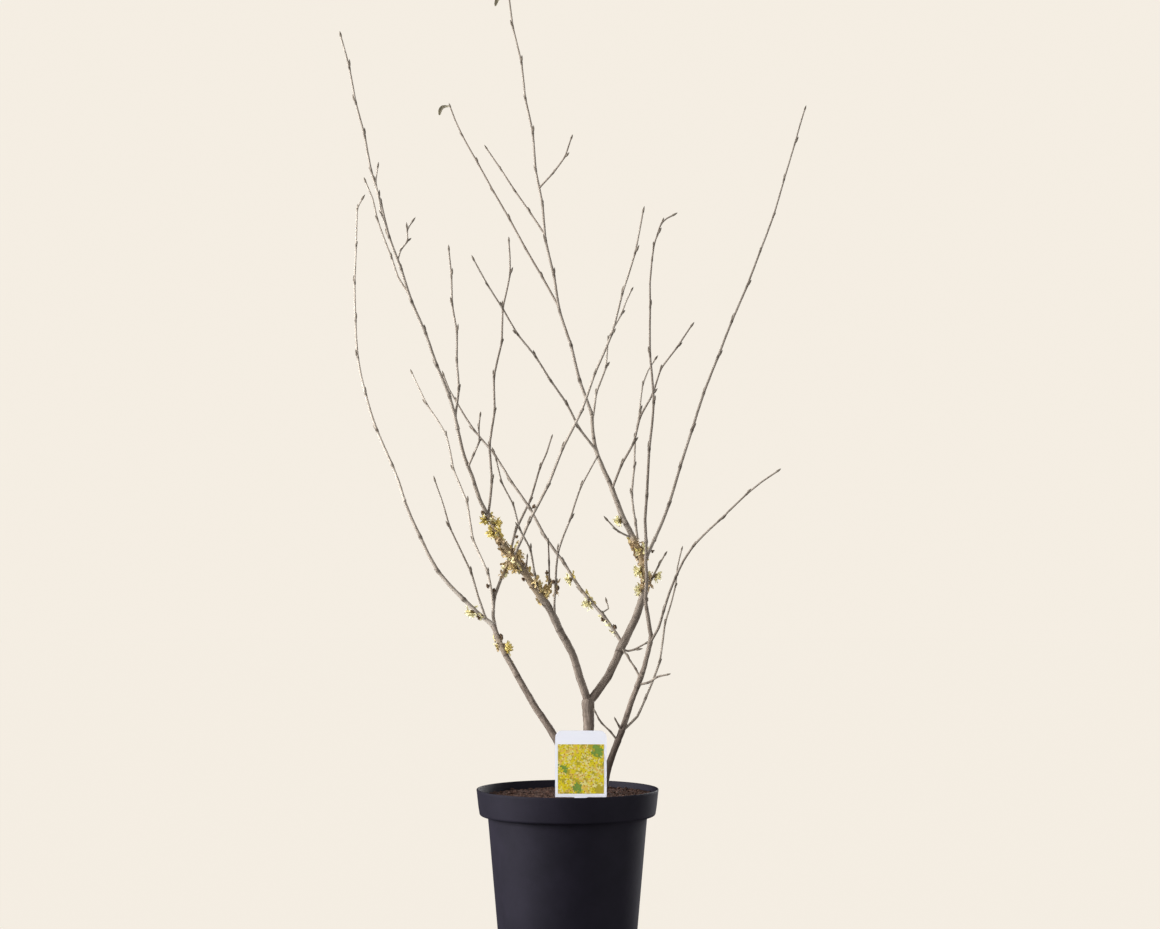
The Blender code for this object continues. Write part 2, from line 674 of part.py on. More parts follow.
def spent_cluster(name, place, outward, forward, collection):
    """A spent cluster: round calyxes side by side on one short stalk."""
    stalk = [(place, 0.5 * SPENT_RADIUS), (place + outward * SPENT_STALK, 0.5 * SPENT_RADIUS)]
    tube(name + "_stalk", stalk, TWIG_ROUNDNESS, collection)
    for number in range(SPENT_CALYXES):
        spread = (number - 0.5 * (SPENT_CALYXES - 1)) * SPENT_SPREAD
        middle = place + outward * SPENT_STALK + forward * spread
        ball(f"{name}_calyx_{number}", middle, SPENT_RADIUS, CALYX_SIDES, collection)


def grow_clusters(name, drawn, collection):
    """Add the blossoms and the spent clusters that stand on one limb."""
    points, radii = drawn[name]
    rows = [("blossom", *row) for row in BLOSSOMS] + [("spent", *row) for row in SPENT_CLUSTERS]
    for number, (kind, limb, share, side) in enumerate(rows):
        if limb != name:
            continue
        place = along(points, share)
        forward = along(points, min(1.0, share + CLUSTER_RUN)) - along(points, share - CLUSTER_RUN)
        forward.normalize()
        outward = BACK.cross(forward).normalized() * side
        radius = value_along(radii, points, share)
        if kind == "blossom":
            stand = place + outward * (radius + CALYX_STAND * CALYX_RADIUS)
            blossom(f"blossom_{number}", stand, outward, collection)
        else:
            root = place + outward * SPENT_ROOT * radius
            spent_cluster(f"spent_{number}", root, outward, forward, collection)


def grow_limb(name, drawn, collars, collection):
    """Build one limb with its own buds, its blossoms and the collars of the limbs that leave it."""
    resolution = BOUGH_ROUNDNESS if name in BOUGHS else TWIG_ROUNDNESS
    points, radii = drawn[name]
    line = list(zip(points, radii))
    if name in collars:
        line = collars[name][1]
    tube(name, line, resolution, collection)
    for child, (foot, rest) in collars.items():
        if LIMBS[child].parent != name:
            continue
        child_resolution = BOUGH_ROUNDNESS if child in BOUGHS else TWIG_ROUNDNESS
        tube("collar_" + child, foot, child_resolution, collection)
        if LIMBS[child].at == 1.0:
            ball("knuckle_" + child, points[-1], radii[-1] * FORK_SWELL, KNUCKLE_SIDES, collection)
    if name not in BOUGHS + WITHERED_LEAVES:
        for number, (place, heading, size) in enumerate(bud_places(name, drawn)):
            sizes = (size * BUD_LENGTH, size * BUD_THICKNESS)
            spindle(f"bud_{name}_{number}", place, heading, *sizes, collection)
    grow_clusters(name, drawn, collection)


def fuse(node, workshop, parts):
    """Join all that was made for a node into one closed body with one Boolean union."""
    pieces = list(workshop.objects)
    base = pieces[0]
    if len(pieces) == 1:
        return applied(base, node, parts)
    workshop.objects.unlink(base)
    parts.objects.link(base)
    union = base.modifiers.new("fuse", "BOOLEAN")
    union.operation = "UNION"
    union.solver = "EXACT"
    union.operand_type = "COLLECTION"
    union.collection = workshop
    result = applied(base, node, parts)
    for piece in list(workshop.objects):
        bpy.data.objects.remove(piece)
    return result


def finish(item, material):
    """Give an object its material and shade it smooth but for its edges."""
    item.data.materials.clear()
    item.data.materials.append(material)
    item.data.shade_smooth()
    item.data.set_sharp_from_angle(angle=SHARP_EDGE)


def main():
    """Build the pot, the compost, the label, the limbs and the masses of twigs."""
    clear_scene()
    parts = new_collection("potted_witch_hazel")
    cutters = new_collection("cutters")
    workshop = new_collection("workshop")
    materials = {name: make_material(name) for name in COLOURS}
    finish(make_pot(parts, cutters), materials["pot"])
    finish(make_compost(parts, cutters), materials["compost"])
    finish(make_label(parts), materials["label"])

    drawn = draw_limbs()
    collars = {}
    for name, limb in LIMBS.items():
        if limb.parent is not None and LIMBS[limb.parent].node != limb.node:
            points, radii = drawn[name]
            collars[name] = split_line(points, radii, collar_share(name, drawn), CLEAR)
    nodes = list(dict.fromkeys(limb.node for limb in LIMBS.values()))
    for node in nodes:
        for name, limb in LIMBS.items():
            if limb.node == node:
                grow_limb(name, drawn, collars, workshop)
        item = fuse(node, workshop, parts)
        finish(item, materials["bark" if node in BOUGHS else "twig"])
    bpy.data.collections.remove(workshop)


main()
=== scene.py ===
"""Witch hazel in winter in its nursery pot, dressed as an add-on: press the buttons in the sidebar in order.

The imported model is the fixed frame. Every piece here is in metres in that frame, and stands for a node of it.
"""
import json
import math
import random
from collections import namedtuple

import bmesh
import bpy
from bpy.props import FloatProperty, FloatVectorProperty, IntProperty, PointerProperty
from bpy.types import Operator, Panel, PropertyGroup
from mathutils import Matrix, Vector, noise

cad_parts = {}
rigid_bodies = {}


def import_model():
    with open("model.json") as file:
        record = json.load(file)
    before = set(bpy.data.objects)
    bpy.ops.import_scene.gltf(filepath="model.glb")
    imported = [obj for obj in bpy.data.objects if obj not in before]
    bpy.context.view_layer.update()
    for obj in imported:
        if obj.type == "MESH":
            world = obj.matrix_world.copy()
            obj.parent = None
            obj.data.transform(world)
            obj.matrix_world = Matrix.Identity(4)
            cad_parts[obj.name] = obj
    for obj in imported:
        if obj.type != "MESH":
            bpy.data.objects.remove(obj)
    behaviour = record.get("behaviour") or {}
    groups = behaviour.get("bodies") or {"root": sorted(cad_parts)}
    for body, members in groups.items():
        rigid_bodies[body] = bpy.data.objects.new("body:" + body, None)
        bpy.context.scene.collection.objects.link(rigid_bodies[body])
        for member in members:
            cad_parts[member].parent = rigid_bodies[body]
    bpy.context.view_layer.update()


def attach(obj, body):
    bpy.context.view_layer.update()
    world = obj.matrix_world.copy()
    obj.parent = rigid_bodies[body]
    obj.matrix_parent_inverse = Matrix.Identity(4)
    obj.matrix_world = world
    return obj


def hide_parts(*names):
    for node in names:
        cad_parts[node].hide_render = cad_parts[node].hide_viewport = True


bl_info = {
    "name": "Potted witch hazel",
    "version": (1, 0, 0),
    "blender": (4, 5, 0),
    "location": "3D View > Sidebar > Witch hazel",
    "description": "Builds a bare witch hazel in its pot, with bark, buds, blossom, compost and label",
    "category": "Add Mesh",
}

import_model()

MM = 0.001
CLEAR = 0.3 * MM
MERGE = 0.01 * MM
BACK = Vector((0.0, 1.0, 0.0))

# Pot and compost, as the model has them
POT_HEIGHT = 0.182
POT_FOOT_RADIUS = 0.0880
POT_STEP_RADIUS = 0.1008
POT_STEP_HEIGHT = 0.1485
POT_BAND_RADIUS = 0.1114
POT_RIM_RADIUS = 0.1151
POT_WALL = 0.0020
POT_LEDGE = POT_STEP_HEIGHT + POT_WALL
DRAIN_HOLES = 8
DRAIN_RADIUS = 0.0070
DRAIN_RING_RADIUS = 0.0700
COMPOST_TOP = 0.1730

# The pot's rounded edges, and how finely it is turned
POT_STEPS = 128
BAND_ROUND = 0.0034
FOOT_ROUND = 0.0030
STEP_FILLET = 0.0012
DRAIN_SIDES = 24
POT_SHARP_EDGE = math.radians(38.0)

# Compost: its lumps and the slope of its top, and the loose crumbs on it
COMPOST_RINGS = 46
COMPOST_SIDES = 120
COMPOST_GAP = 0.0004
COMPOST_SLOPE = 0.0022
COMPOST_SETTLED = 0.0006
CRUMBS = 1500
CRUMB_SIZES = (0.0006, 0.0024)

# Label, as the model has it
LABEL_WIDTH = 0.0635
LABEL_FOOT_HEIGHT = 0.1812
LABEL_HEIGHT = 0.0820
LABEL_CORNER = 0.0090
LABEL_THICKNESS = 0.0010
LABEL_X = 0.0168
LABEL_Y = -0.0960
SPIKE_WIDTH = 0.0160
SPIKE_DEPTH = 0.0260
SPIKE_TIP_WIDTH = 0.0040
SPIKE_TAPER_FROM = 0.7

# The print on the label: a plain picture of yellow blossom over leaves, each ink a little proud of the last
PRINT_MARGIN = 0.0033
PRINT_LOW = 0.0042
PRINT_HIGH = 0.0652
INK_STEP = 0.0000015
INK_LEAVES = 60
INK_BLOSSOMS = 170
INK_PETALS = 7
INK_CLOUD = 0.016
INK_PATCHES = ((0.020, 0.057, 0.0075), (-0.004, 0.012, 0.0065), (-0.022, 0.036, 0.0050))

# Withered leaves: the radius of the roll, how far round it goes, and in how many steps
LEAF_ROLL = 0.0031
LEAF_WRAP = math.radians(235.0)
LEAF_STEPS = 9
# Painted light: the withered leaves' glow lifts the shaded inside of the roll
LEAF_PAINTED_GLOW = 0.10

# How a limb's course is drawn, as in the model
BOUGH_STEP = 0.016
TWIG_STEP = 0.028
CURL_STEP = 0.010
CURLED = 0.10
NODE_DEPTH = 0.6
FOOT_UPRIGHT = 0.004
ROOT_FLARE = 0.50
ROOT_FLARE_HEIGHT = 0.016

# Winter buds, as the model has them
BUD_LENGTH = 0.0105
BUD_ANGLE = math.radians(6.0)
BUD_SPREAD = 0.8
BUD_SINK = 0.5
BUD_FREE_FOOT = 0.016
SMALL_BUDS = 0.35
SMALL_BUD = 0.6

# Each limb leaves its parent at a share of the parent's length and reaches a tip. Between the two it
# bows off its chord, to the right as seen from the front, by amounts at equal shares of the way, and
# sways back by some depth at the middle. It has a number of straight stretches, and the nodes between
# them stand off to the right and the left in turn: zig is the first node's, to the right. All in
# millimetres. A limb whose node is its parent's is fused to it; any other starts just clear of a short
# collar on its parent.
Limb = namedtuple("Limb", "node parent at tip bow sway thick steps zig")
LIMBS = {
    "trunk": Limb("trunk", None, (26, 0), (26, 0, 290), (0, 0), 0, (11.2, 14.8), 4, 0.6),
    "left_stem": Limb("left_stem", None, (9, -15), (-95, 48, 386), (9, 0), 0, (10.9, 6.6), 4, 1.2),
    "right_stem": Limb("right_stem", None, (43, 12), (105, -35, 376), (-1, 2), 0, (9.3, 5.6), 5, -0.7),
    "left_bough": Limb("left_bough", "trunk", 1.0, (-81, -38, 491), (12, 11), 0, (10.0, 8.6), 7, -1.0),
    "right_bough": Limb("right_bough", "trunk", 1.0, (100, 30, 437), (7, 6), 0, (10.8, 9.4), 4, 1.2),
    "left_leader": Limb("left_leader", "left_bough", 1.0, (-136, -70, 635), (-5, -5), 0, (5.6, 3.9), 5, 0.8),
    "tall_leader": Limb("tall_leader", "right_bough", 1.0, (31, 45, 655), (1, -7), 0, (9.4, 3.9), 5, 1.4),
    "right_leader": Limb("right_leader", "right_stem", 1.0, (98, -60, 494), (-4, -2), 0, (5.5, 3.6), 5, 0.8),

    "left_top": Limb(
        "twigs_left_top", "left_leader", 1.0, (-276, -150, 1115), (-3, -11, -12, -6), 0, (3.9, 1.7), 12, 0.9),
    "left_top_side": Limb(
        "twigs_left_top", "left_top", 0.35, (-252, -60, 945), (-7, 0), 0, (2.1, 1.5), 3, 3.1),
    "left_top_twig": Limb(
        "twigs_left_top", "left_top", 0.52, (-229, -170, 953), (-4, -5), 0, (1.9, 1.4), 4, -1.0),
    "left_top_spur": Limb(
        "twigs_left_top", "left_top", 0.44, (-191, -85, 893), (1, 0), 0, (1.9, 1.4), 4, -2.2),
    "left_top_inner": Limb(
        "twigs_left_top", "left_top", 0.03, (-149, -30, 862), (6, 3), 0, (2.8, 1.6), 6, 1.2),
    "leader_twig": Limb(
        "twigs_left_fork", "left_leader", 0.69, (-107, -110, 653), (5, 4), 0, (2.4, 1.5), 4, -1.2),
    "left_inner": Limb(
        "twigs_left_inner", "left_leader", 0.26, (-75, 30, 877), (-2, -4, -2, 2), 0, (3.0, 1.6), 8, 2.2),

    "front_reach": Limb(
        "twigs_front", "left_bough", 0.91, (91, -235, 894), (7, 13, 16, 12), -15, (3.7, 1.6), 9, -1.3),
    "fork_twig": Limb("twigs_low_left", "left_bough", 0.65, (-87, -130, 598), (4, 1), 0, (2.9, 1.5), 6, -1.8),
    "centre_twig": Limb(
        "twigs_low_centre", "left_bough", 0.50, (37, -105, 601), (-15, -13), 0, (2.8, 1.5), 5, 1.5),
    "bough_spur": Limb("left_bough", "left_bough", 0.60, (-24, -42, 495), (2, 3), 0, (2.3, 1.5), 3, 1.0),
    "bough_knob_twig": Limb("left_bough", "left_bough", 0.82, (-50, -52, 477), (0, 1), 0, (2.4, 1.6), 2, 0.8),

    "left_whip": Limb(
        "twigs_left_whip", "left_stem", 1.0, (-209, 62, 544), (-15, -14), 0, (5.4, 3.4), 4, 1.2),
    "left_whip_top": Limb(
        "twigs_left_whip", "left_whip", 1.0, (-274, 120, 925), (-16, -29, -27, -15), 0, (3.4, 1.7), 8, 0.4),
    "left_whip_tip": Limb(
        "twigs_left_whip", "left_whip_top", 1.0, (-267, 120, 938), (-1, -1), 0, (1.7, 1.5), 1, 0.0),
    "left_whip_side": Limb(
        "twigs_left_whip", "left_whip", 0.06, (-167, -20, 572), (-1, 1), 0, (3.0, 1.5), 3, 3.7),
    "left_back": Limb(
        "twigs_left_back", "left_stem", 0.94, (-22, 205, 628), (-15, -13, -9, -3), 10, (4.4, 1.7), 6, -2.1),
    "left_back_side": Limb(
        "twigs_left_back", "left_back", 0.12, (-209, 230, 714), (7, 10, 14, 11), 0, (3.1, 1.6), 7, 2.8),

    "tall_top": Limb(
        "twigs_tall_top", "tall_leader", 1.0, (-76, 60, 1197), (-12, -14, -8, -3), 0, (3.8, 1.8), 12, -1.4),
    "tall_top_right": Limb("twigs_tall_top", "tall_top", 0.54, (5, 10, 1006), (6, 5), 0, (2.1, 1.4), 3, -1.3),
    "tall_top_left": Limb(
        "twigs_tall_top", "tall_top", 0.43, (-106, 110, 1002), (0, 0), 0, (2.2, 1.4), 4, 0.3),
    "tall_back": Limb(
        "twigs_tall_top", "tall_top", 0.26, (-157, 205, 1067), (-1, -2, -3, -4), 0, (2.6, 1.5), 7, 0.3),
    "tall_top_leaf": Limb("twigs_tall_top", "tall_top", 1.0, (-93, 60, 1179), (3, 5), 0, (1.6, 3.6), 1, 0.0),
    "tall_back_leaf": Limb(
        "twigs_tall_top", "tall_back", 1.0, (-171, 205, 1055), (4, 5), 0, (1.5, 3.6), 1, 0.0),
    "middle_left": Limb(
        "twigs_middle_left", "tall_leader", 0.80, (-116, -95, 845), (-1, 0, -3, -3), 0, (3.1, 1.6), 8, -0.9),
    "middle_back": Limb(
        "twigs_middle_back", "tall_leader", 0.96, (84, 165, 822), (-5, -8), 0, (2.7, 1.6), 5, -2.8),
    "right_middle": Limb(
        "twigs_right_middle", "tall_leader", 0.57, (155, -60, 765), (-4, -9), 0, (2.9, 1.5), 7, -2.0),
    "right_back": Limb(
        "twigs_right_back", "tall_leader", 0.18, (116, 190, 732), (-12, -17, -17, -15), 0, (3.0, 1.6), 7, 1.0),
    "leader_spur": Limb("tall_leader", "tall_leader", 0.27, (49, 22, 522), (-4, -3), 0, (2.4, 1.5), 2, 0.3),
    "knee_spur": Limb("right_bough", "right_bough", 0.95, (125, 42, 478), (-1, 1), 0, (2.7, 1.5), 3, 1.2),
    "crossing_limb": Limb(
        "twigs_crossing", "right_bough", 0.52, (-163, 140, 709), (-5, -6, -3, -6), 25, (4.4, 1.7), 10, 1.1),
    "crossing_hook": Limb(
        "twigs_crossing", "crossing_limb", 0.12, (49, 50, 418), (6, 6), 0, (1.6, 1.3), 1, 0.0),
    "crook_twig": Limb("right_bough", "right_bough", 0.48, (100, 2, 366), (5, 3), 0, (2.6, 1.5), 2, 0.2),

    "right_top": Limb(
        "twigs_right_top", "right_leader", 1.0, (104, -120, 843), (-1, 4, 3, -2), 0, (3.5, 1.7), 6, 1.4),
    "right_top_end": Limb(
        "twigs_right_top", "right_top", 1.0, (131, -128, 897), (-6, -9), 0, (1.7, 1.5), 4, -0.9),
    "right_whip_foot": Limb(
        "twigs_right_whip", "right_leader", 0.84, (108, -42, 496), (0, 0), 0, (4.4, 4.0), 1, 0.0),
    "right_whip": Limb(
        "twigs_right_whip", "right_whip_foot", 1.0, (306, 85, 1051), (0, -1, 5, 6), 0, (3.7, 1.5), 12, 0.4),
    "right_reach": Limb(
        "twigs_right_reach", "right_stem", 0.96, (253, -215, 584), (-13, -27, -25, -15), 0, (3.1, 1.5), 6, -0.7),
    "right_low": Limb(
        "twigs_right_low", "right_stem", 0.40, (149, 150, 481), (18, 16, 12, 5), 0, (3.2, 1.5), 5, -2.4),
    "stem_spur_right": Limb(
        "right_stem", "right_stem", 0.70, (126, -44, 329), (2, -2), 0, (2.7, 1.6), 3, -0.4),
    "stem_spur_left": Limb("right_stem", "right_stem", 0.34, (35, -22, 280), (1, -3), 0, (2.5, 1.5), 3, -0.9),
    "stem_spur_high": Limb("right_stem", "right_stem", 0.74, (71, -8, 356), (2, 0), 0, (2.5, 1.5), 3, -0.6),
    "stem_spur_low": Limb("right_stem", "right_stem", 0.40, (60, -20, 271), (0, 0), 0, (2.6, 1.6), 2, 0.5),
}
BOUGHS = (
    "trunk",
    "left_stem",
    "right_stem",
    "left_bough",
    "right_bough",
    "left_leader",
    "tall_leader",
    "right_leader",
)

# Curled leaves of last summer that still hang at two tips, drawn as limbs that hook over
WITHERED_LEAVES = ("tall_top_leaf", "tall_back_leaf")

# Blossom clusters: the limb, the share of its length, and the side, +1 to the right and -1 to the left
BLOSSOMS = (
    ("left_stem", 0.86, 1),
    ("left_whip", 0.16, -1),
    ("left_bough", 0.66, 1),
    ("left_bough", 0.86, -1),
    ("left_bough", 0.90, 1),
    ("left_leader", 0.12, -1),
    ("left_leader", 0.18, 1),
    ("left_leader", 0.25, -1),
    ("crossing_limb", 0.17, -1),
    ("crossing_limb", 0.26, -1),
    ("right_bough", 0.96, -1),
    ("knee_spur", 0.45, 1),
    ("tall_leader", 0.09, -1),
    ("tall_leader", 0.20, 1),
    ("tall_leader", 0.39, -1),
)

# Spent clusters: dark calyxes that have dropped their petals, listed the same way
SPENT_CLUSTERS = (
    ("left_stem", 0.93, 1),
    ("left_whip", 0.10, -1),
    ("left_back", 0.22, -1),
    ("left_back_side", 0.10, -1),
    ("left_bough", 0.73, 1),
    ("left_bough", 0.78, -1),
    ("left_leader", 0.30, -1),
    ("front_reach", 0.16, -1),
    ("centre_twig", 0.19, 1),
    ("centre_twig", 0.22, -1),
    ("crossing_limb", 0.06, 1),
    ("crossing_limb", 0.10, -1),
    ("right_bough", 0.90, 1),
)

# Where old calyxes and crumpled petals crowd the wood: the limb, from and to a share of its length, how
# many, their tint, and how far dried petals and down colour the bark under them
FLOWERING_WOOD = (
    ("left_bough", 0.60, 0.84, 6, "ochre", 0.35),
    ("left_bough", 0.82, 0.99, 23, "ochre", 0.8),
    ("left_back", 0.29, 0.41, 24, "ochre", 0.7),
    ("left_leader", 0.0, 0.12, 16, "ochre", 0.8),
    ("left_leader", 0.08, 0.26, 10, "yellow", 0.5),
    ("fork_twig", 0.0, 0.14, 14, "golden", 0.5),
    ("bough_spur", 0.10, 0.40, 10, "golden", 0.5),
    ("tall_leader", 0.0, 0.29, 46, "ochre", 0.8),
    ("right_bough", 0.92, 1.0, 8, "ochre", 0.4),
    ("left_stem", 0.80, 0.93, 9, "yellow", 0.25),
    ("front_reach", 0.01, 0.05, 2, "pale", 0.0),
    ("centre_twig", 0.14, 0.22, 4, "ochre", 0.3),
    ("left_whip", 0.08, 0.18, 3, "pale", 0.0),
    ("crossing_limb", 0.03, 0.12, 4, "pale", 0.0),
    ("crossing_limb", 0.15, 0.27, 3, "yellow", 0.1),
)
# Small spent cups that only show close by, listed as the spent clusters are
LATE_CUPS = (
    ("left_back", 0.50, 1),
    ("right_whip_foot", 0.50, 1),
    ("bough_spur", 0.50, -1),
)
LATE_CUP_COUNT = 2
# How dark a twig's bark is painted, from 0 to 1, where it differs from the usual: painted shade on the twigs the lamps
# light less, and painted light on the palest ones they light most
USUAL_TWIG_PAINTED_SHADE = 0.45
TWIG_PAINTED_SHADES = {
    "left_whip_top": 0.0,
    "left_top_twig": 0.1,
    "left_top_spur": 0.2,
    "left_back_side": 0.2,
    "middle_back": 0.15,
    "leader_spur": 0.0,
    "knee_spur": 0.0,
    "left_top_inner": 0.7,
    "leader_twig": 0.7,
    "centre_twig": 0.7,
    "right_whip": 0.7,
    "tall_top": 0.65,
    "tall_top_left": 0.9,
    "left_inner": 1.0,
    "left_back": 0.9,
    "bough_spur": 1.0,
    "tall_top_right": 1.0,
    "tall_back": 1.0,
    "right_middle": 1.0,
    "crossing_limb": 0.8,
    "right_top": 1.0,
    "right_top_end": 1.0,
    "right_reach": 1.0,
}
# Wood that is darker than the rest: the limb, from and to a share of its length, how much
DARKER_WOOD = (
    ("right_stem", -0.1, 0.45, 0.75),
    ("tall_leader", -0.1, 0.02, 0.3),
)
BLOSSOM_TINTS = {
    "left_stem": "yellow",
    "left_whip": "pale",
    "left_bough": "golden",
    "left_leader": "yellow",
    "crossing_limb": "pale",
    "right_bough": "pale",
    "knee_spur": "pale",
    "tall_leader": "pale",
}

PETAL_COLOURS = {
    "yellow": "#cfbd70",
    "golden": "#c2ac7a",
    "ochre": "#b7a07c",
    "pale": "#e2daab",
}
TINTS = tuple(PETAL_COLOURS)

# Bark: how far its relief stands, the grain of its ridges and knobs, and the heights below which it is darkest and
# above which it is palest
RIDGE_ACROSS = 0.0019
RIDGE_ALONG = 0.0110
KNOB = 0.0034
DARKEST_BELOW = 0.22
PALEST_ABOVE = 0.70
GRAIN_SHIFT = 0.37
MARK_EDGE = 20.0

# Petals: the stretches of a ribbon, its crumples, and how a cluster is filled
RIBBON_STEPS = 9
CRUMPLE = 0.16
PETAL_SWEEP = 0.60
OPEN_CUPS = 8
SPENT_CUPS = 5
PETALS_A_CUP = 4
# Painted light: the petals' glow lifts their shaded sides
PETAL_PAINTED_GLOW = 0.10
CUP_RADIUS = 0.0016
OLD_CUP_RADIUS = 0.0015
CUP_STALK = 0.0022
CUPPED = 0.22
HUGGING_WIDTH = 1.5

# Stage: a flat floor that curves up into a round wall, far enough out for a camera on any side
FLOOR_FLAT = 7.0
FLOOR_CURVE = 6.0
WALL_TOP = 12.0
FLOOR_SIDES = 96
FLOOR_BASE = 0.01
FLOOR_GLOW = 0.995
LAMPS = (
    ("key", (-2.4, -0.42, 0.85), 1.2, 114.0),
    ("fill", (-2.3, -2.75, 1.5), 2.4, 64.0),
    ("rim", (1.9, 2.6, 1.1), 1.6, 120.0),
    ("side_fill", (2.9, -1.1, 0.6), 2.4, 32.0),
)
LAMP_AIM = Vector((0.0, 0.0, 0.5))
AIR_LIGHT = 0.16


def linear(code):
    """The linear colour of an sRGB hex code."""
    parts = [int(code[i:i + 2], 16) / 255.0 for i in (1, 3, 5)]
    return tuple(c / 12.92 if c <= 0.04045 else ((c + 0.055) / 1.055) ** 2.4 for c in parts) + (1.0,)


def node(tree, kind, settings=None, **links):
    """Add a node, set its settings, its sockets and its colour stops, and link its inputs."""
    item = tree.nodes.new(kind)
    for key, value in (settings or {}).items():
        if key == "stops":
            while len(item.color_ramp.elements) < len(value):
                item.color_ramp.elements.new(0.5)
            for element, (place, code) in zip(item.color_ramp.elements, value):
                element.position = place
                element.color = linear(code)
        elif key in item.inputs:
            item.inputs[key].default_value = value
        else:
            setattr(item, key, value)
    for key, source in links.items():
        tree.links.new(source, item.inputs[key.replace("_", " ")])
    return item


def empty_material(name):
    """A material with an empty node tree, and that tree."""
    material = bpy.data.materials.new(name)
    material.use_nodes = True
    material.node_tree.nodes.clear()
    return material, material.node_tree


def pattern_scale(across, along_grain):
    """The scale that makes one unit of a pattern its real size in metres, across and along the grain."""
    return 1.0 / across, 1.0 / across, 1.0 / along_grain


def bark_material(name, young, old, scar):
    """Witch hazel bark: lengthwise streaks, pale pores, dark rings at old leaf scars and on darker stretches of wood,
    and tones mixed from paler to darker by each point's darkness, which on a bough is darker low down and on a twig is
    painted shade.

    Its streaks follow the wood's own grain, 2 mm across and 14 mm along, so it looks fibrous and dry.
    """
    material, tree = empty_material(name)
    grain = node(tree, "ShaderNodeAttribute", {"attribute_name": "grain"}).outputs["Vector"]
    age = node(tree, "ShaderNodeAttribute", {"attribute_name": "age"}).outputs["Fac"]
    scarred = node(tree, "ShaderNodeAttribute", {"attribute_name": "scar"}).outputs["Fac"]
    dust = node(tree, "ShaderNodeAttribute", {"attribute_name": "dust"}).outputs["Fac"]
    fibres = node(tree, "ShaderNodeMapping", {"Scale": pattern_scale(0.0020, 0.0140)}, Vector=grain)
    streaks = node(tree, "ShaderNodeTexNoise", {"Scale": 1.0, "Detail": 5.0, "Roughness": 0.62},
                   Vector=fibres.outputs["Vector"])
    blotches = node(tree, "ShaderNodeMapping", {"Scale": pattern_scale(0.0120, 0.0260)}, Vector=grain)
    patches = node(tree, "ShaderNodeTexNoise", {"Scale": 1.0, "Detail": 3.0, "Roughness": 0.55},
                   Vector=blotches.outputs["Vector"])
    pattern = node(tree, "ShaderNodeMixRGB", {"Fac": 0.45},
                   Color1=streaks.outputs["Fac"], Color2=patches.outputs["Fac"])
    # The paler and the darker tones, mixed by each point's darkness, which on twigs is painted shade
    fresh = node(tree, "ShaderNodeValToRGB", {"stops": young}, Fac=pattern.outputs["Color"])
    darker_ramp = node(tree, "ShaderNodeValToRGB", {"stops": old}, Fac=pattern.outputs["Color"])
    mixed_tones = node(tree, "ShaderNodeMixRGB", Fac=age,
                Color1=fresh.outputs["Color"], Color2=darker_ramp.outputs["Color"])
    spacing = node(tree, "ShaderNodeMapping", {"Scale": pattern_scale(0.0034, 0.0050)}, Vector=grain)
    cells = node(tree, "ShaderNodeTexVoronoi", {"Scale": 1.0}, Vector=spacing.outputs["Vector"])
    pores = node(tree, "ShaderNodeValToRGB", {"stops": ((0.0, "#8c8c8c"), (0.20, "#000000"))},
                 Fac=cells.outputs["Distance"])
    dotted = node(tree, "ShaderNodeMixRGB", {"Color2": linear("#c2b7a6")},
                  Fac=pores.outputs["Color"], Color1=mixed_tones.outputs["Color"])
    ringed = node(tree, "ShaderNodeMixRGB", {"Color2": linear(scar)},
                  Fac=scarred, Color1=dotted.outputs["Color"])
    colour = node(tree, "ShaderNodeMixRGB", {"Color2": linear("#a8906a")},
                  Fac=dust, Color1=ringed.outputs["Color"])
    relief = node(tree, "ShaderNodeBump", {"Distance": 0.0004, "Strength": 0.7}, Height=streaks.outputs["Fac"])
    shader = node(tree, "ShaderNodeBsdfPrincipled", {"Roughness": 0.80, "Specular IOR Level": 0.25},
                  Base_Color=colour.outputs["Color"], Normal=relief.outputs["Normal"])
    node(tree, "ShaderNodeOutputMaterial", Surface=shader.outputs["BSDF"])
    return material


def pot_material():
    """Polypropylene, injection-moulded: charcoal with a faint violet cast, satin sheen and handling haze."""
    material, tree = empty_material("moulded_polypropylene_charcoal")
    place = node(tree, "ShaderNodeTexCoord").outputs["Object"]
    haze = node(tree, "ShaderNodeTexNoise", {"Scale": 1.0 / 0.045, "Detail": 5.0, "Roughness": 0.6}, Vector=place)
    colour = node(tree, "ShaderNodeValToRGB", {"stops": ((0.3, "#1b1922"), (0.75, "#23202b"))},
                  Fac=haze.outputs["Fac"])
    grain = node(tree, "ShaderNodeTexNoise", {"Scale": 1.0 / 0.0016, "Detail": 3.0, "Roughness": 0.5}, Vector=place)
    relief = node(tree, "ShaderNodeBump", {"Distance": 0.00012, "Strength": 0.35}, Height=grain.outputs["Fac"])
    shader = node(tree, "ShaderNodeBsdfPrincipled", {"Roughness": 0.66, "Specular IOR Level": 0.12},
                  Base_Color=colour.outputs["Color"], Normal=relief.outputs["Normal"])
    node(tree, "ShaderNodeOutputMaterial", Surface=shader.outputs["BSDF"])
    return material


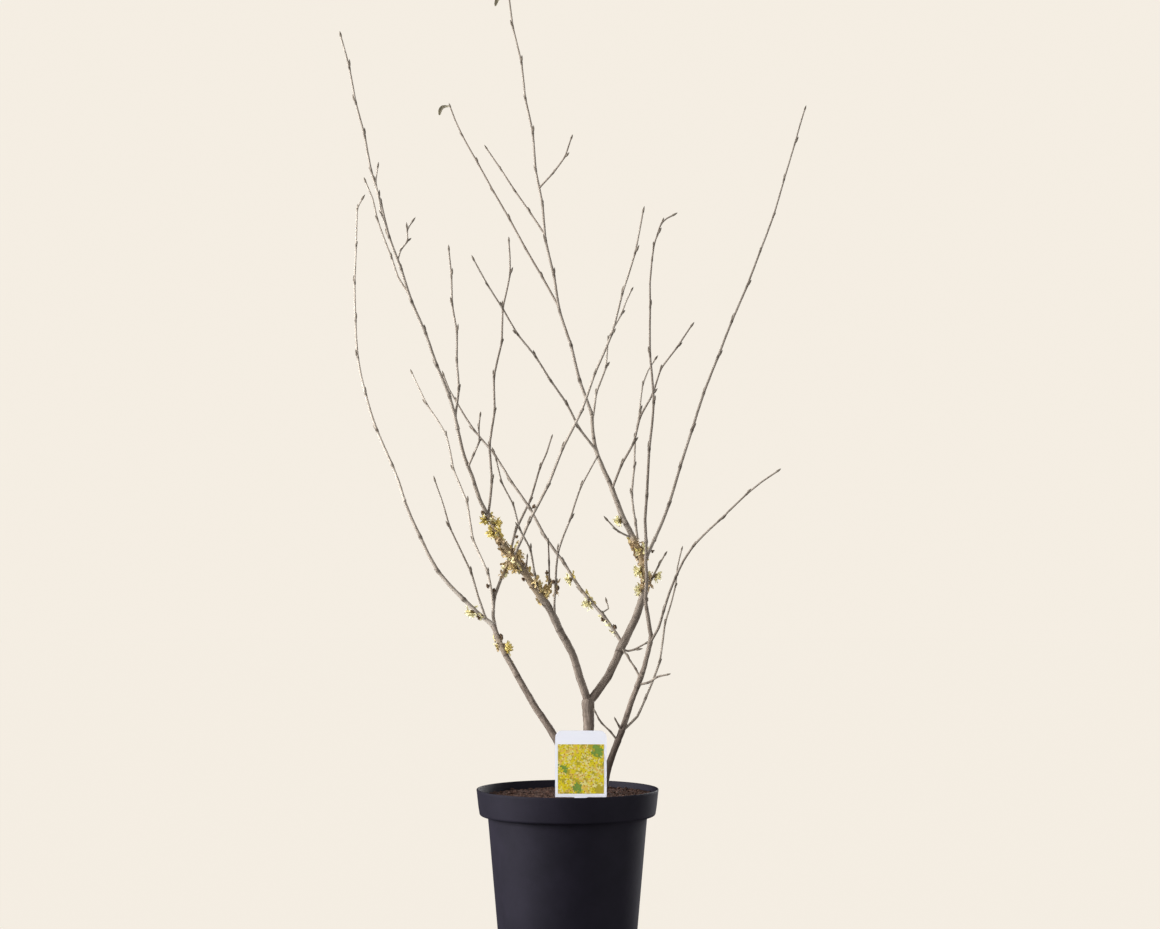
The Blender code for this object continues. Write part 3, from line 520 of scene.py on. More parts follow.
def compost_material():
    """Composted bark and peat, milled and moist: dark brown crumbs with tan fibres."""
    material, tree = empty_material("composted_bark_moist")
    place = node(tree, "ShaderNodeTexCoord").outputs["Object"]
    crumbs = node(tree, "ShaderNodeTexNoise", {"Scale": 1.0 / 0.0042, "Detail": 7.0, "Roughness": 0.72}, Vector=place)
    colour = node(tree, "ShaderNodeValToRGB", {"stops": ((0.28, "#261b17"), (0.5, "#4e3830"), (0.72, "#7a6152"))},
                  Fac=crumbs.outputs["Fac"])
    grit = node(tree, "ShaderNodeTexNoise", {"Scale": 1.0 / 0.0022, "Detail": 6.0, "Roughness": 0.75}, Vector=place)
    relief = node(tree, "ShaderNodeBump", {"Distance": 0.0012, "Strength": 0.9}, Height=grit.outputs["Fac"])
    shader = node(tree, "ShaderNodeBsdfPrincipled", {"Roughness": 0.93, "Specular IOR Level": 0.2},
                  Base_Color=colour.outputs["Color"], Normal=relief.outputs["Normal"])
    node(tree, "ShaderNodeOutputMaterial", Surface=shader.outputs["BSDF"])
    return material


def toned_material(name, code, roughness, period=0.004, depth=0.00005, spread=0.12, painted_glow=0.0, painted_glow_code=None):
    """One colour with an uneven tone and a fine grain, whose pattern repeats about every period, in metres.

    A glow is painted light: an emission that makes a thin petal, a rolled leaf or a card look brighter than the lamps
    light it, most of all on its shaded side.
    """
    material, tree = empty_material(name)
    place = node(tree, "ShaderNodeTexCoord").outputs["Object"]
    tone = node(tree, "ShaderNodeTexNoise", {"Scale": 1.0 / period, "Detail": 3.0, "Roughness": 0.6}, Vector=place)
    base = linear(code)
    low = tuple(c * (1.0 - spread) for c in base[:3]) + (1.0,)
    high = tuple(min(1.0, c * (1.0 + spread)) for c in base[:3]) + (1.0,)
    colour = node(tree, "ShaderNodeMixRGB", {"Color1": low, "Color2": high}, Fac=tone.outputs["Fac"])
    relief = node(tree, "ShaderNodeBump", {"Distance": depth, "Strength": 0.4}, Height=tone.outputs["Fac"])
    finish = {"Roughness": roughness, "Specular IOR Level": 0.4, "Emission Strength": painted_glow,
              "Emission Color": linear(painted_glow_code or code)}
    shader = node(tree, "ShaderNodeBsdfPrincipled", finish,
                  Base_Color=colour.outputs["Color"], Normal=relief.outputs["Normal"])
    node(tree, "ShaderNodeOutputMaterial", Surface=shader.outputs["BSDF"])
    return material


def card_material():
    """Polypropylene card, printed and cut: white, with a faint bluish painted glow that makes it look brighter than the
    lamps light it.
    """
    return toned_material("printed_card_white", "#eaebf2", 0.38, 0.02, 0.00002, 0.02, 0.20, "#eef0ff")


def object_of(bm, name, material, slot, *nodes, smooth=True):
    """Turn a bmesh into a piece that rides on the body and stands for some nodes."""
    mesh = bpy.data.meshes.new(name)
    bmesh.ops.recalc_face_normals(bm, faces=bm.faces)
    bm.to_mesh(mesh)
    bm.free()
    if smooth:
        mesh.shade_smooth()
    piece = bpy.data.objects.new(name, mesh)
    bpy.context.scene.collection.objects.link(piece)
    for item in material if isinstance(material, (list, tuple)) else [material]:
        mesh.materials.append(item)
    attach(piece, "root")
    if nodes:
        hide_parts(*nodes)
    return piece


def bow_at(share, bows):
    """How far a limb stands off its chord at a share: the polynomial through its bows, 0 at both ends."""
    knots = [number / (len(bows) + 1) for number in range(len(bows) + 2)]
    total = 0.0
    for number, bow in enumerate(bows, start=1):
        for knot in knots[:number] + knots[number + 1:]:
            bow *= (share - knot) / (knots[number] - knot)
        total += bow
    return total


def marks_of(points):
    """The lengths along a line at its points."""
    marks = [0.0]
    for low, high in zip(points, points[1:]):
        marks.append(marks[-1] + (high - low).length)
    return marks


def along(points, share, values=None):
    """The point, or the value, at a share of a line's length."""
    marks = marks_of(points)
    rest = share * marks[-1]
    things = points if values is None else values
    for number in range(len(points) - 1):
        if rest <= marks[number + 1]:
            part = (rest - marks[number]) / (marks[number + 1] - marks[number])
            return things[number] + (things[number + 1] - things[number]) * part
    return things[-1]


def node_places(name):
    """How far each node of a limb stands off its course, to the right and back: 0 at both ends."""
    limb = LIMBS[name]
    chance = random.Random(name)
    places = [Vector((0.0, 0.0))]
    for number in range(1, limb.steps):
        side = limb.zig * (-1) ** (number + 1)
        places.append(Vector((side, abs(limb.zig) * chance.uniform(-NODE_DEPTH, NODE_DEPTH))))
    places.append(Vector((0.0, 0.0)))
    return places


def points_a_stretch(name, length):
    """How many points a limb needs between one node and the next: more on a bough, and where it curls."""
    limb = LIMBS[name]
    step = TWIG_STEP
    if name in BOUGHS:
        step = BOUGH_STEP
    elif max(abs(bow) for bow in limb.bow) * MM > CURLED * length:
        step = CURL_STEP
    return max(1, round(length / limb.steps / step))


def draw_limb(name, drawn):
    """Work out a limb's course: its points and radii from its root to its tip."""
    limb = LIMBS[name]
    if limb.parent is None:
        start = Vector((*(value * MM for value in limb.at), COMPOST_TOP + CLEAR))
    else:
        start = along(drawn[limb.parent][0], limb.at)
    chord = Vector(limb.tip) * MM - start
    right = Vector((chord.z, 0.0, -chord.x)).normalized()
    nodes = node_places(name)
    fine = points_a_stretch(name, chord.length)
    points = []
    radii = []
    for number in range(limb.steps * fine + 1):
        share = number / (limb.steps * fine)
        node, part = divmod(number, fine)
        kink = nodes[node].lerp(nodes[min(node + 1, limb.steps)], part / fine)
        lean = right * (bow_at(share, limb.bow) + kink.x)
        lean += BACK * (limb.sway * 4.0 * share * (1.0 - share) + kink.y)
        points.append(start + chord * share + lean * MM)
        thick = limb.thick[0] + (limb.thick[1] - limb.thick[0]) * share
        radii.append(0.5 * thick * MM)
    if limb.parent is None:
        foot_up(points, radii)
    return points, radii


def foot_up(points, radii):
    """Stand a stem on its flat cut, upright at first, and widen it there into a root flare."""
    points.insert(1, points[0] + Vector((0.0, 0.0, FOOT_UPRIGHT)))
    radii.insert(1, radii[0])
    for number, point in enumerate(points):
        rise = point.z - points[0].z
        radii[number] *= 1.0 + ROOT_FLARE * math.exp(-rise / ROOT_FLARE_HEIGHT)


def draw_limbs():
    """Draw every limb, parents first."""
    drawn = {}
    for name in LIMBS:
        drawn[name] = draw_limb(name, drawn)
    return drawn


def bud_places(name, drawn):
    """Where buds stand on a twig: on the outer side of each node, and at the tip, with each one's size."""
    limb = LIMBS[name]
    points, radii = drawn[name]
    fine = (len(points) - 1) // limb.steps
    chance = random.Random(name + " buds")
    places = []
    for node in range(1, limb.steps):
        point = points[node * fine]
        forward = (point - points[node * fine - 1]).normalized()
        right = BACK.cross(forward).normalized()
        outer = right * math.copysign(1.0, limb.zig) * (-1) ** (node + 1)
        side = Matrix.Rotation(chance.uniform(-BUD_SPREAD, BUD_SPREAD), 3, forward) @ outer
        size = SMALL_BUD if chance.random() < SMALL_BUDS else 1.0
        if (point - points[0]).length < BUD_FREE_FOOT:
            continue
        heading = forward * math.cos(BUD_ANGLE) + side * math.sin(BUD_ANGLE)
        places.append((point + side * BUD_SINK * radii[node * fine], heading, size))
    forward = (points[-1] - points[-2]).normalized()
    places.append((points[-1] - forward * 0.5 * BUD_LENGTH, forward, 1.0))
    return places


def softened(points, radii, spacing, rounding):
    """A finer line through the same points: straight between them, rounded at the bends."""
    fine = []
    wide = []
    last = len(points) - 1
    for number in range(last):
        p0, p1, p2, p3 = (points[max(0, min(last, number + k))] for k in (-1, 0, 1, 2))
        steps = max(2, round((p2 - p1).length / spacing))
        for step in range(steps):
            t = step / steps
            curve = 2.0 * p1 + (p2 - p0) * t + (2.0 * p0 - 5.0 * p1 + 4.0 * p2 - p3) * t * t
            curve += (3.0 * p1 - p0 - 3.0 * p2 + p3) * t ** 3
            fine.append(p1.lerp(p2, t).lerp(0.5 * curve, rounding))
            wide.append(radii[number] + (radii[number + 1] - radii[number]) * t)
    fine.append(points[-1].copy())
    wide.append(radii[-1])
    return fine, wide


def nearness(points, joints, reach):
    """How near each point is to a joint: its weight at the joint, and less over a reach."""
    out = []
    for point in points:
        near = [weight * math.exp(-((point - place).length / reach) ** 2) for place, weight in joints]
        out.append(max(near, default=0.0))
    return out


def spread_over(rows, count):
    """How strongly a limb's points are marked, by rows that tell from and to a share of it, and an amount."""
    out = []
    for number in range(count):
        share = number / (count - 1)
        marks = [amount * max(0.0, min(1.0, MARK_EDGE * (share - low), MARK_EDGE * (high - share)))
                 for low, high, amount in rows]
        out.append(max(marks, default=0.0))
    return out


def darker_stretches(name, count):
    """How much darker each of a limb's points is."""
    return spread_over([row[1:] for row in DARKER_WOOD if row[0] == name], count)


def dusted(name, count):
    """How far dried petals colour each of a limb's points."""
    return spread_over([(row[1], row[2], row[5]) for row in FLOWERING_WOOD if row[0] == name], count)


def swollen(radii, near, amount):
    """Radii that swell by an amount where the line is near a joint."""
    return [radius * (1.0 + amount * share) for radius, share in zip(radii, near)]


def skin(bm, points, radii, sides, material=0):
    """Skin a line of points and radii with rings of vertices, closed at both ends."""
    rings = []
    normal = (points[1] - points[0]).orthogonal().normalized()
    for number, (point, radius) in enumerate(zip(points, radii)):
        forward = (points[min(number + 1, len(points) - 1)] - points[max(number - 1, 0)]).normalized()
        normal = (normal - forward * normal.dot(forward)).normalized()
        other = forward.cross(normal)
        ring = []
        for side in range(sides):
            turn = math.tau * side / sides
            ring.append(bm.verts.new(point + (normal * math.cos(turn) + other * math.sin(turn)) * radius))
        rings.append(ring)
    for low, high in zip(rings, rings[1:]):
        for side in range(sides):
            face = bm.faces.new((low[side - 1], low[side], high[side], high[side - 1]))
            face.material_index = material
    for ring in (rings[0], rings[-1]):
        bm.faces.new(ring).material_index = material
    return rings


def bark_mesh():
    """A bmesh whose vertices hold their place in the grain, and how scarred, how dark, with painted shade on twigs, and
    how dusted they are.
    """
    bm = bmesh.new()
    bm.verts.layers.float_vector.new("grain")
    bm.verts.layers.float.new("scar")
    bm.verts.layers.float.new("age")
    bm.verts.layers.float.new("dust")
    return bm


def lower_is_darker(points):
    """How dark the bark is at each point of a stem or bough: darker low down and paler high up."""
    return [max(0.0, min(1.0, (PALEST_ABOVE - point.z) / (PALEST_ABOVE - DARKEST_BELOW))) for point in points]


def bark_skin(bm, points, radii, sides, relief, seed, looks):
    """Skin a limb, work the bark's relief into it, and note its looks for the bark's colours."""
    grain_layer = bm.verts.layers.float_vector["grain"]
    rings = skin(bm, points, radii, sides)
    for number, (ring, point, radius, mark) in enumerate(zip(rings, points, radii, marks_of(points))):
        for side, vert in enumerate(ring):
            turn = math.tau * side / sides
            grain = Vector((radius * math.cos(turn), radius * math.sin(turn), mark + seed * GRAIN_SHIFT))
            ridge = noise.noise(Vector((grain.x / RIDGE_ACROSS, grain.y / RIDGE_ACROSS, grain.z / RIDGE_ALONG)))
            knob = noise.noise(grain / KNOB)
            vert.co += (vert.co - point) * relief * (ridge + 0.7 * knob)
            vert[grain_layer] = grain
            for look, amounts in looks.items():
                vert[bm.verts.layers.float[look]] = amounts[number]


def bud(bm, place, heading, length, thickness, material=0):
    """A naked winter bud: a slim felted spindle on a short stalk, slightly bent."""
    side = heading.orthogonal().normalized()
    shares = (0.0, 0.10, 0.22, 0.42, 0.64, 0.84, 1.0)
    sizes = (0.50, 0.46, 0.78, 1.0, 0.86, 0.50, 0.06)
    line = [place + heading * length * share + side * length * 0.06 * share * share for share in shares]
    skin(bm, line, [0.5 * thickness * size for size in sizes], 7, material)


def grow_twig(bm, buds, name, drawn, sizes):
    """One twig of the model, with its swollen nodes and its buds."""
    points, radii = drawn[name]
    limb = LIMBS[name]
    stride = (len(points) - 1) // limb.steps
    chance = random.Random(name + " bark")
    fine, wide = softened(points, [radius + sizes.twig_bark for radius in radii], sizes.twig_ring, 0.35)
    joints = [(points[number * stride], chance.uniform(0.6, 1.0)) for number in range(1, limb.steps)]
    near = nearness(fine, joints, sizes.node_reach)
    wide = swollen(wide, near, sizes.node_swell)
    foot = nearness(fine, [(points[0], 1.0)], 2.5 * radii[0])
    wide = swollen(wide, foot, 0.35)
    count = len(fine)
    # Painted shade: each twig's darkness is its value in the painted-shade table
    looks = {"scar": near, "age": [TWIG_PAINTED_SHADES.get(name, USUAL_TWIG_PAINTED_SHADE)] * count, "dust": dusted(name, count)}
    bark_skin(bm, fine, wide, sizes.twig_sides, 0.07, chance.random(), looks)
    for place, heading, size in bud_places(name, drawn):
        length = size * sizes.bud_length * chance.uniform(0.85, 1.1)
        thickness = (0.5 + 0.5 * size) * sizes.bud_thickness * chance.uniform(0.88, 1.08)
        bud(buds, place, heading, length, thickness)


def grow_bough(bm, name, drawn, sizes):
    """One stem or bough with bark relief, faint ring scars and knuckles where others leave it."""
    points, radii = drawn[name]
    chance = random.Random(name + " bark")
    count = round(marks_of(points)[-1] / sizes.bough_joint)
    joints = []
    for number in range(1, count):
        share = (number + chance.uniform(-0.4, 0.4)) / count
        joints.append((along(points, share), chance.uniform(0.2, 0.9)))
    forks = [(along(points, limb.at), 1.0) for limb in LIMBS.values() if limb.parent == name]
    fine, wide = softened(points, radii, sizes.bough_ring, 1.0)
    rings = nearness(fine, joints, sizes.scar_reach)
    wide = swollen(wide, nearness(fine, joints, 2.0 * sizes.scar_reach), 0.05)
    wide = swollen(wide, nearness(fine, forks, 1.4 * radii[-1]), 0.13)
    if any(limb.parent == name and limb.at == 1.0 for limb in LIMBS.values()):
        ahead = (fine[-1] - fine[-2]).normalized()
        tip, size = fine[-1], wide[-1]
        for turn in (15, 30, 45, 60, 75, 87):
            fine.append(tip + ahead * size * math.sin(math.radians(turn)))
            wide.append(size * math.cos(math.radians(turn)))
            rings.append(0.0)
    # Darker stretches of wood are drawn in the scars' dark colour
    scars = [max(ring, darkening) for ring, darkening in zip(rings, darker_stretches(name, len(rings)))]
    # The bough's darkness: darker low down and paler high up
    looks = {"scar": scars, "age": lower_is_darker(fine), "dust": dusted(name, len(fine))}
    bark_skin(bm, fine, wide, sizes.bough_sides, 0.09, chance.random(), looks)


def ribbon(bm, place, heading, length, width, chance, material):
    """One crumpled ribbon petal."""
    side = heading.orthogonal().normalized()
    side = Matrix.Rotation(chance.uniform(0.0, math.tau), 3, heading) @ side
    curl = side.cross(heading)
    twist = chance.uniform(-1.6, 1.6)
    phase = chance.uniform(0.0, math.tau)
    rows = []
    for number in range(RIBBON_STEPS + 1):
        share = number / RIBBON_STEPS
        wave = CRUMPLE * length * share * math.sin(phase + 9.0 * share)
        sweep = PETAL_SWEEP * length * share * share * math.sin(phase)
        middle = place + heading * length * share + curl * (wave + sweep)
        across = Matrix.Rotation(twist * share, 3, heading) @ side
        half = 0.5 * width * (0.65 + 0.5 * math.sin(math.pi * min(1.0, 0.9 * share + 0.1)))
        rows.append((bm.verts.new(middle - across * half), bm.verts.new(middle + across * half)))
    for low, high in zip(rows, rows[1:]):
        bm.faces.new((low[0], low[1], high[1], high[0])).material_index = material


def calyx(bm, place, heading, radius, chance, material):
    """A cupped calyx: a small knob and four lobes curled back round it."""
    line = [place + heading * radius * share for share in (-0.9, -0.2, 0.5, 0.9)]
    skin(bm, line, [radius * size for size in (0.35, 0.95, 1.0, 0.5)], 7, material)
    side = heading.orthogonal().normalized()
    foot = place + heading * 0.5 * radius
    for number in range(4):
        out = Matrix.Rotation(math.tau * (number + chance.uniform(-0.2, 0.2)) / 4.0, 3, heading) @ side
        lobe = [foot + out * 0.5 * radius, foot + out * 1.25 * radius + heading * 0.35 * radius,
                foot + out * 1.7 * radius - heading * 0.25 * radius]
        skin(bm, lobe, [0.42 * radius, 0.36 * radius, 0.10 * radius], 5, material)


def way_out(points, share, turn):
    """The forward way of a limb at a share of its length, and the way out of it at a turn from its right."""
    forward = (along(points, min(1.0, share + 0.02)) - along(points, max(0.0, share - 0.02))).normalized()
    right = BACK.cross(forward).normalized()
    return forward, Matrix.Rotation(turn, 3, forward) @ right


def cluster(petals, cups, drawn, row, fresh, count, sizes, seed):
    """A cluster of some cups, with petals or spent with its petals gone, on its limb's right or left side."""
    name, share, side = row
    chance = random.Random(seed)
    points, radii = drawn[name]
    place = along(points, share)
    forward, outward = way_out(points, share, 0.0 if side > 0 else math.pi)
    radius = along(points, share, radii)
    tint = TINTS.index(BLOSSOM_TINTS.get(name, "golden"))
    for number in range(count):
        heading = outward + forward * chance.uniform(-0.9, 0.9) - BACK * chance.uniform(-0.4, 0.9)
        heading.normalize()
        middle = place + outward * radius * 0.8 + heading * CUP_STALK
        skin(cups, [place + outward * 0.4 * radius, middle], [0.5 * CUP_RADIUS, 0.45 * CUP_RADIUS], 5)
        calyx(cups, middle, heading, CUP_RADIUS, chance, 0 if fresh else 1)
        if not fresh:
            continue
        cross = heading.orthogonal().normalized()
        for petal in range(PETALS_A_CUP):
            turn = math.tau * petal / PETALS_A_CUP + chance.uniform(-0.4, 0.4)
            out = Matrix.Rotation(turn, 3, heading) @ cross
            way = (heading * chance.uniform(0.35, 1.0) + out * chance.uniform(0.5, 1.0)).normalized()
            length = sizes.petal_length * chance.uniform(0.6, 1.0)
            ribbon(petals, middle + heading * 0.5 * CUP_RADIUS, way, length, sizes.petal_width, chance, tint)


def crowd(petals, cups, drawn, row, sizes, seed):
    """Old calyxes and short crumpled petals that hug a stretch of wood."""
    name, low, high, count, tint, _ = row
    chance = random.Random(seed)
    points, radii = drawn[name]
    for number in range(count):
        share = low + (high - low) * (number + chance.uniform(0.0, 1.0)) / count
        forward, out = way_out(points, share, chance.uniform(0.0, math.tau))
        radius = along(points, share, radii)
        place = along(points, share) + out * (radius + 0.4 * OLD_CUP_RADIUS)
        heading = (out * 0.6 + forward * chance.uniform(-0.8, 0.8)).normalized()
        if chance.random() < CUPPED:
            calyx(cups, place, heading, OLD_CUP_RADIUS * chance.uniform(0.7, 1.15), chance, chance.choice((0, 1)))
        for petal in range(chance.choice((2, 3, 4))):
            way = out * chance.uniform(0.10, 0.45) + forward * chance.choice((-1.0, 1.0))
            way = (way + out.cross(forward) * chance.uniform(-0.9, 0.9)).normalized()
            length = sizes.petal_length * chance.uniform(0.45, 0.85)
            colour = TINTS.index(tint if chance.random() < 0.7 else chance.choice(TINTS))
            foot = place + out * 0.4 * OLD_CUP_RADIUS
            ribbon(petals, foot, way, length, HUGGING_WIDTH * sizes.petal_width, chance, colour)


def rolled_leaf(bm, points, radii):
    """A withered leaf, rolled lengthwise into an open tube that hooks over at its tip."""
    fine, wide = softened(points, radii, 0.0008, 1.0)
    rows = []
    normal = BACK.copy()
    for number, point in enumerate(fine):
        share = number / (len(fine) - 1)
        forward = (fine[min(number + 1, len(fine) - 1)] - fine[max(number - 1, 0)]).normalized()
        normal = (normal - forward * normal.dot(forward)).normalized()
        other = forward.cross(normal)
        full = LEAF_ROLL * (0.22 + 0.78 * math.sin(math.pi * min(1.0, share ** 1.4)) ** 0.8)
        row = []
        for step in range(LEAF_STEPS + 1):
            turn = LEAF_WRAP * (step / LEAF_STEPS - 0.5)
            ragged = 1.0 + 0.16 * noise.noise(point * 900.0 + Vector((step * 0.7, 0.0, 0.0)))
            spiral = 1.0 - 0.3 * step / LEAF_STEPS
            out = normal * math.cos(turn) + other * math.sin(turn)
            row.append(bm.verts.new(point + out * full * spiral * ragged))
        rows.append(row)
    for low, high in zip(rows, rows[1:]):
        for step in range(LEAF_STEPS):
            bm.faces.new((low[step], low[step + 1], high[step + 1], high[step]))


def turned(name, profile, steps, material, slot, *nodes):
    """Turn a closed profile of radius and height round the Z axis."""
    bm = bmesh.new()
    verts = [bm.verts.new((radius, 0.0, height)) for radius, height in profile]
    edges = [bm.edges.new((low, high)) for low, high in zip(verts, verts[1:])]
    bmesh.ops.spin(bm, geom=verts + edges, cent=(0, 0, 0), axis=(0, 0, 1), angle=math.tau, steps=steps,
                   use_merge=True, use_duplicate=False)
    bmesh.ops.remove_doubles(bm, verts=bm.verts, dist=MERGE)
    return object_of(bm, name, material, slot, *nodes)


def wall_radius(height):
    """Outer radius of the pot's body or rim band at a height."""
    if height < POT_STEP_HEIGHT:
        return POT_FOOT_RADIUS + height / POT_STEP_HEIGHT * (POT_STEP_RADIUS - POT_FOOT_RADIUS)
    share = (height - POT_STEP_HEIGHT) / (POT_HEIGHT - POT_STEP_HEIGHT)
    return POT_BAND_RADIUS + share * (POT_RIM_RADIUS - POT_BAND_RADIUS)


def arc(centre, radius, start, end, steps):
    """Points of an arc in a profile, angles in degrees."""
    out = []
    for number in range(steps + 1):
        turn = math.radians(start + (end - start) * number / steps)
        out.append((centre[0] + radius * math.cos(turn), centre[1] + radius * math.sin(turn)))
    return out


def rise(low, high, steps, inset=0.0):
    """Points up the pot's wall between two heights, set in by some depth."""
    heights = [low + (high - low) * number / steps for number in range(steps + 1)]
    return [(wall_radius(height) - inset, height) for height in heights]


class WitchHazelSizes(PropertyGroup):
    """How finely the wood is worked, and the sizes of buds and petals."""

    bough_ring: FloatProperty(name="Bough ring", description="Distance between rings on a bough", default=0.0012,
                              subtype="DISTANCE", unit="LENGTH")
    bough_sides: IntProperty(name="Bough sides", description="Sides of a bough", default=20)
    bough_joint: FloatProperty(name="Bough joint", description="Distance between old ring scars on a bough",
                               default=0.038, subtype="DISTANCE", unit="LENGTH")
    scar_reach: FloatProperty(name="Scar reach", description="Half the width of a ring scar", default=0.0013,
                              subtype="DISTANCE", unit="LENGTH")
    twig_ring: FloatProperty(name="Twig ring", description="Distance between rings on a twig", default=0.0022,
                             subtype="DISTANCE", unit="LENGTH")
    twig_bark: FloatProperty(name="Twig bark", description="How far the bark of a twig stands out from the model",
                             default=0.00021, subtype="DISTANCE", unit="LENGTH")
    twig_sides: IntProperty(name="Twig sides", description="Sides of a twig", default=9)
    node_reach: FloatProperty(name="Node reach", description="Half the length of a twig's swollen node",
                              default=0.0028, subtype="DISTANCE", unit="LENGTH")
    node_swell: FloatProperty(name="Node swell", description="How much thicker a twig is at a node", default=0.30)
    bud_length: FloatProperty(name="Bud length", description="Length of a winter bud", default=BUD_LENGTH,
                              subtype="DISTANCE", unit="LENGTH")
    bud_thickness: FloatProperty(name="Bud thickness", description="Thickness of a winter bud", default=0.0029,
                                 subtype="DISTANCE", unit="LENGTH")
    petal_length: FloatProperty(name="Petal length", description="Length of a ribbon petal", default=0.0092,
                                subtype="DISTANCE", unit="LENGTH")
    petal_width: FloatProperty(name="Petal width", description="Width of a ribbon petal", default=0.0021,
                               subtype="DISTANCE", unit="LENGTH")


class WitchHazelStage(PropertyGroup):
    """The stage, the light and the camera."""

    floor_colour: FloatVectorProperty(name="Floor colour", description="Colour of floor and backdrop", size=4,
                                      subtype="COLOR", default=linear("#f5eee3"))
    camera_distance: FloatProperty(name="Camera distance", description="Distance from the plant to the camera",
                                   default=4.06, subtype="DISTANCE", unit="LENGTH")
    camera_height: FloatProperty(name="Camera height", description="Height of the camera", default=0.5914,
                                 subtype="DISTANCE", unit="LENGTH")
    camera_side: FloatProperty(name="Camera side", description="How far right the camera stands", default=0.0157,
                               subtype="DISTANCE", unit="LENGTH")
    lens: FloatProperty(name="Lens", description="Focal length on a 36 mm wide sensor", default=99.74, unit="CAMERA")


class WitchHazelPot(Operator):
    """Turn the moulded pot with its rounded rim band and drain holes"""

    bl_idname = "witch_hazel.pot"
    bl_label = "Pot"

    def execute(self, context):
        wall = POT_WALL
        rim = wall_radius(POT_HEIGHT)
        profile = [(0.0, wall), (wall_radius(wall) - wall - FOOT_ROUND, wall)]
        profile += rise(wall + FOOT_ROUND, 0.9 * POT_STEP_HEIGHT, 5, wall)
        profile += [(POT_STEP_RADIUS - wall, POT_LEDGE), (wall_radius(POT_LEDGE) - wall, POT_LEDGE)]
        profile += arc((rim - 0.5 * wall, POT_HEIGHT - 0.5 * wall), 0.5 * wall, 180.0, 0.0, 8)
        profile += rise(POT_HEIGHT - 2.0 * wall, POT_STEP_HEIGHT + BAND_ROUND, 3)[:-1]
        profile += arc((POT_BAND_RADIUS - BAND_ROUND, POT_STEP_HEIGHT + BAND_ROUND), BAND_ROUND, 0.0, -90.0, 6)
        profile += arc((POT_STEP_RADIUS + STEP_FILLET, POT_STEP_HEIGHT - STEP_FILLET), STEP_FILLET, 90.0, 180.0, 4)
        profile += rise(0.9 * POT_STEP_HEIGHT, 2.0 * FOOT_ROUND, 5)
        profile += arc((POT_FOOT_RADIUS - FOOT_ROUND, FOOT_ROUND), FOOT_ROUND, 0.0, -90.0, 5)
        profile += [(0.0, 0.0)]
        pot = turned("moulded_pot", profile, POT_STEPS, pot_material(), "pot", "pot")
        bm = bmesh.new()
        for number in range(DRAIN_HOLES):
            turn = math.tau * (number + 0.5) / DRAIN_HOLES
            place = Vector((math.cos(turn), math.sin(turn), 0.0)) * DRAIN_RING_RADIUS
            bmesh.ops.create_cone(bm, cap_ends=True, segments=DRAIN_SIDES, radius1=DRAIN_RADIUS,
                                  radius2=DRAIN_RADIUS, depth=4.0 * wall, matrix=Matrix.Translation(place))
        mesh = bpy.data.meshes.new("drain_cutter")
        bm.to_mesh(mesh)
        bm.free()
        cutter = bpy.data.objects.new("drain_cutter", mesh)
        context.scene.collection.objects.link(cutter)
        boolean = pot.modifiers.new("cut", "BOOLEAN")
        boolean.operation = "DIFFERENCE"
        boolean.object = cutter
        context.view_layer.update()
        cut = bpy.data.meshes.new_from_object(pot.evaluated_get(context.evaluated_depsgraph_get()))
        pot.modifiers.clear()
        pot.data = cut
        cut.shade_smooth()
        cut.set_sharp_from_angle(angle=POT_SHARP_EDGE)
        bpy.data.objects.remove(cutter)
        return {"FINISHED"}


def compost_height(place, outer):
    """Height of the compost's uneven top at a place."""
    lump = 0.0016 * noise.noise(place * 55.0) + 0.0014 * noise.noise(place * 150.0)
    lump += 0.0010 * noise.noise(place * 420.0) + COMPOST_SLOPE * place.x / outer
    return COMPOST_TOP - COMPOST_SETTLED + lump


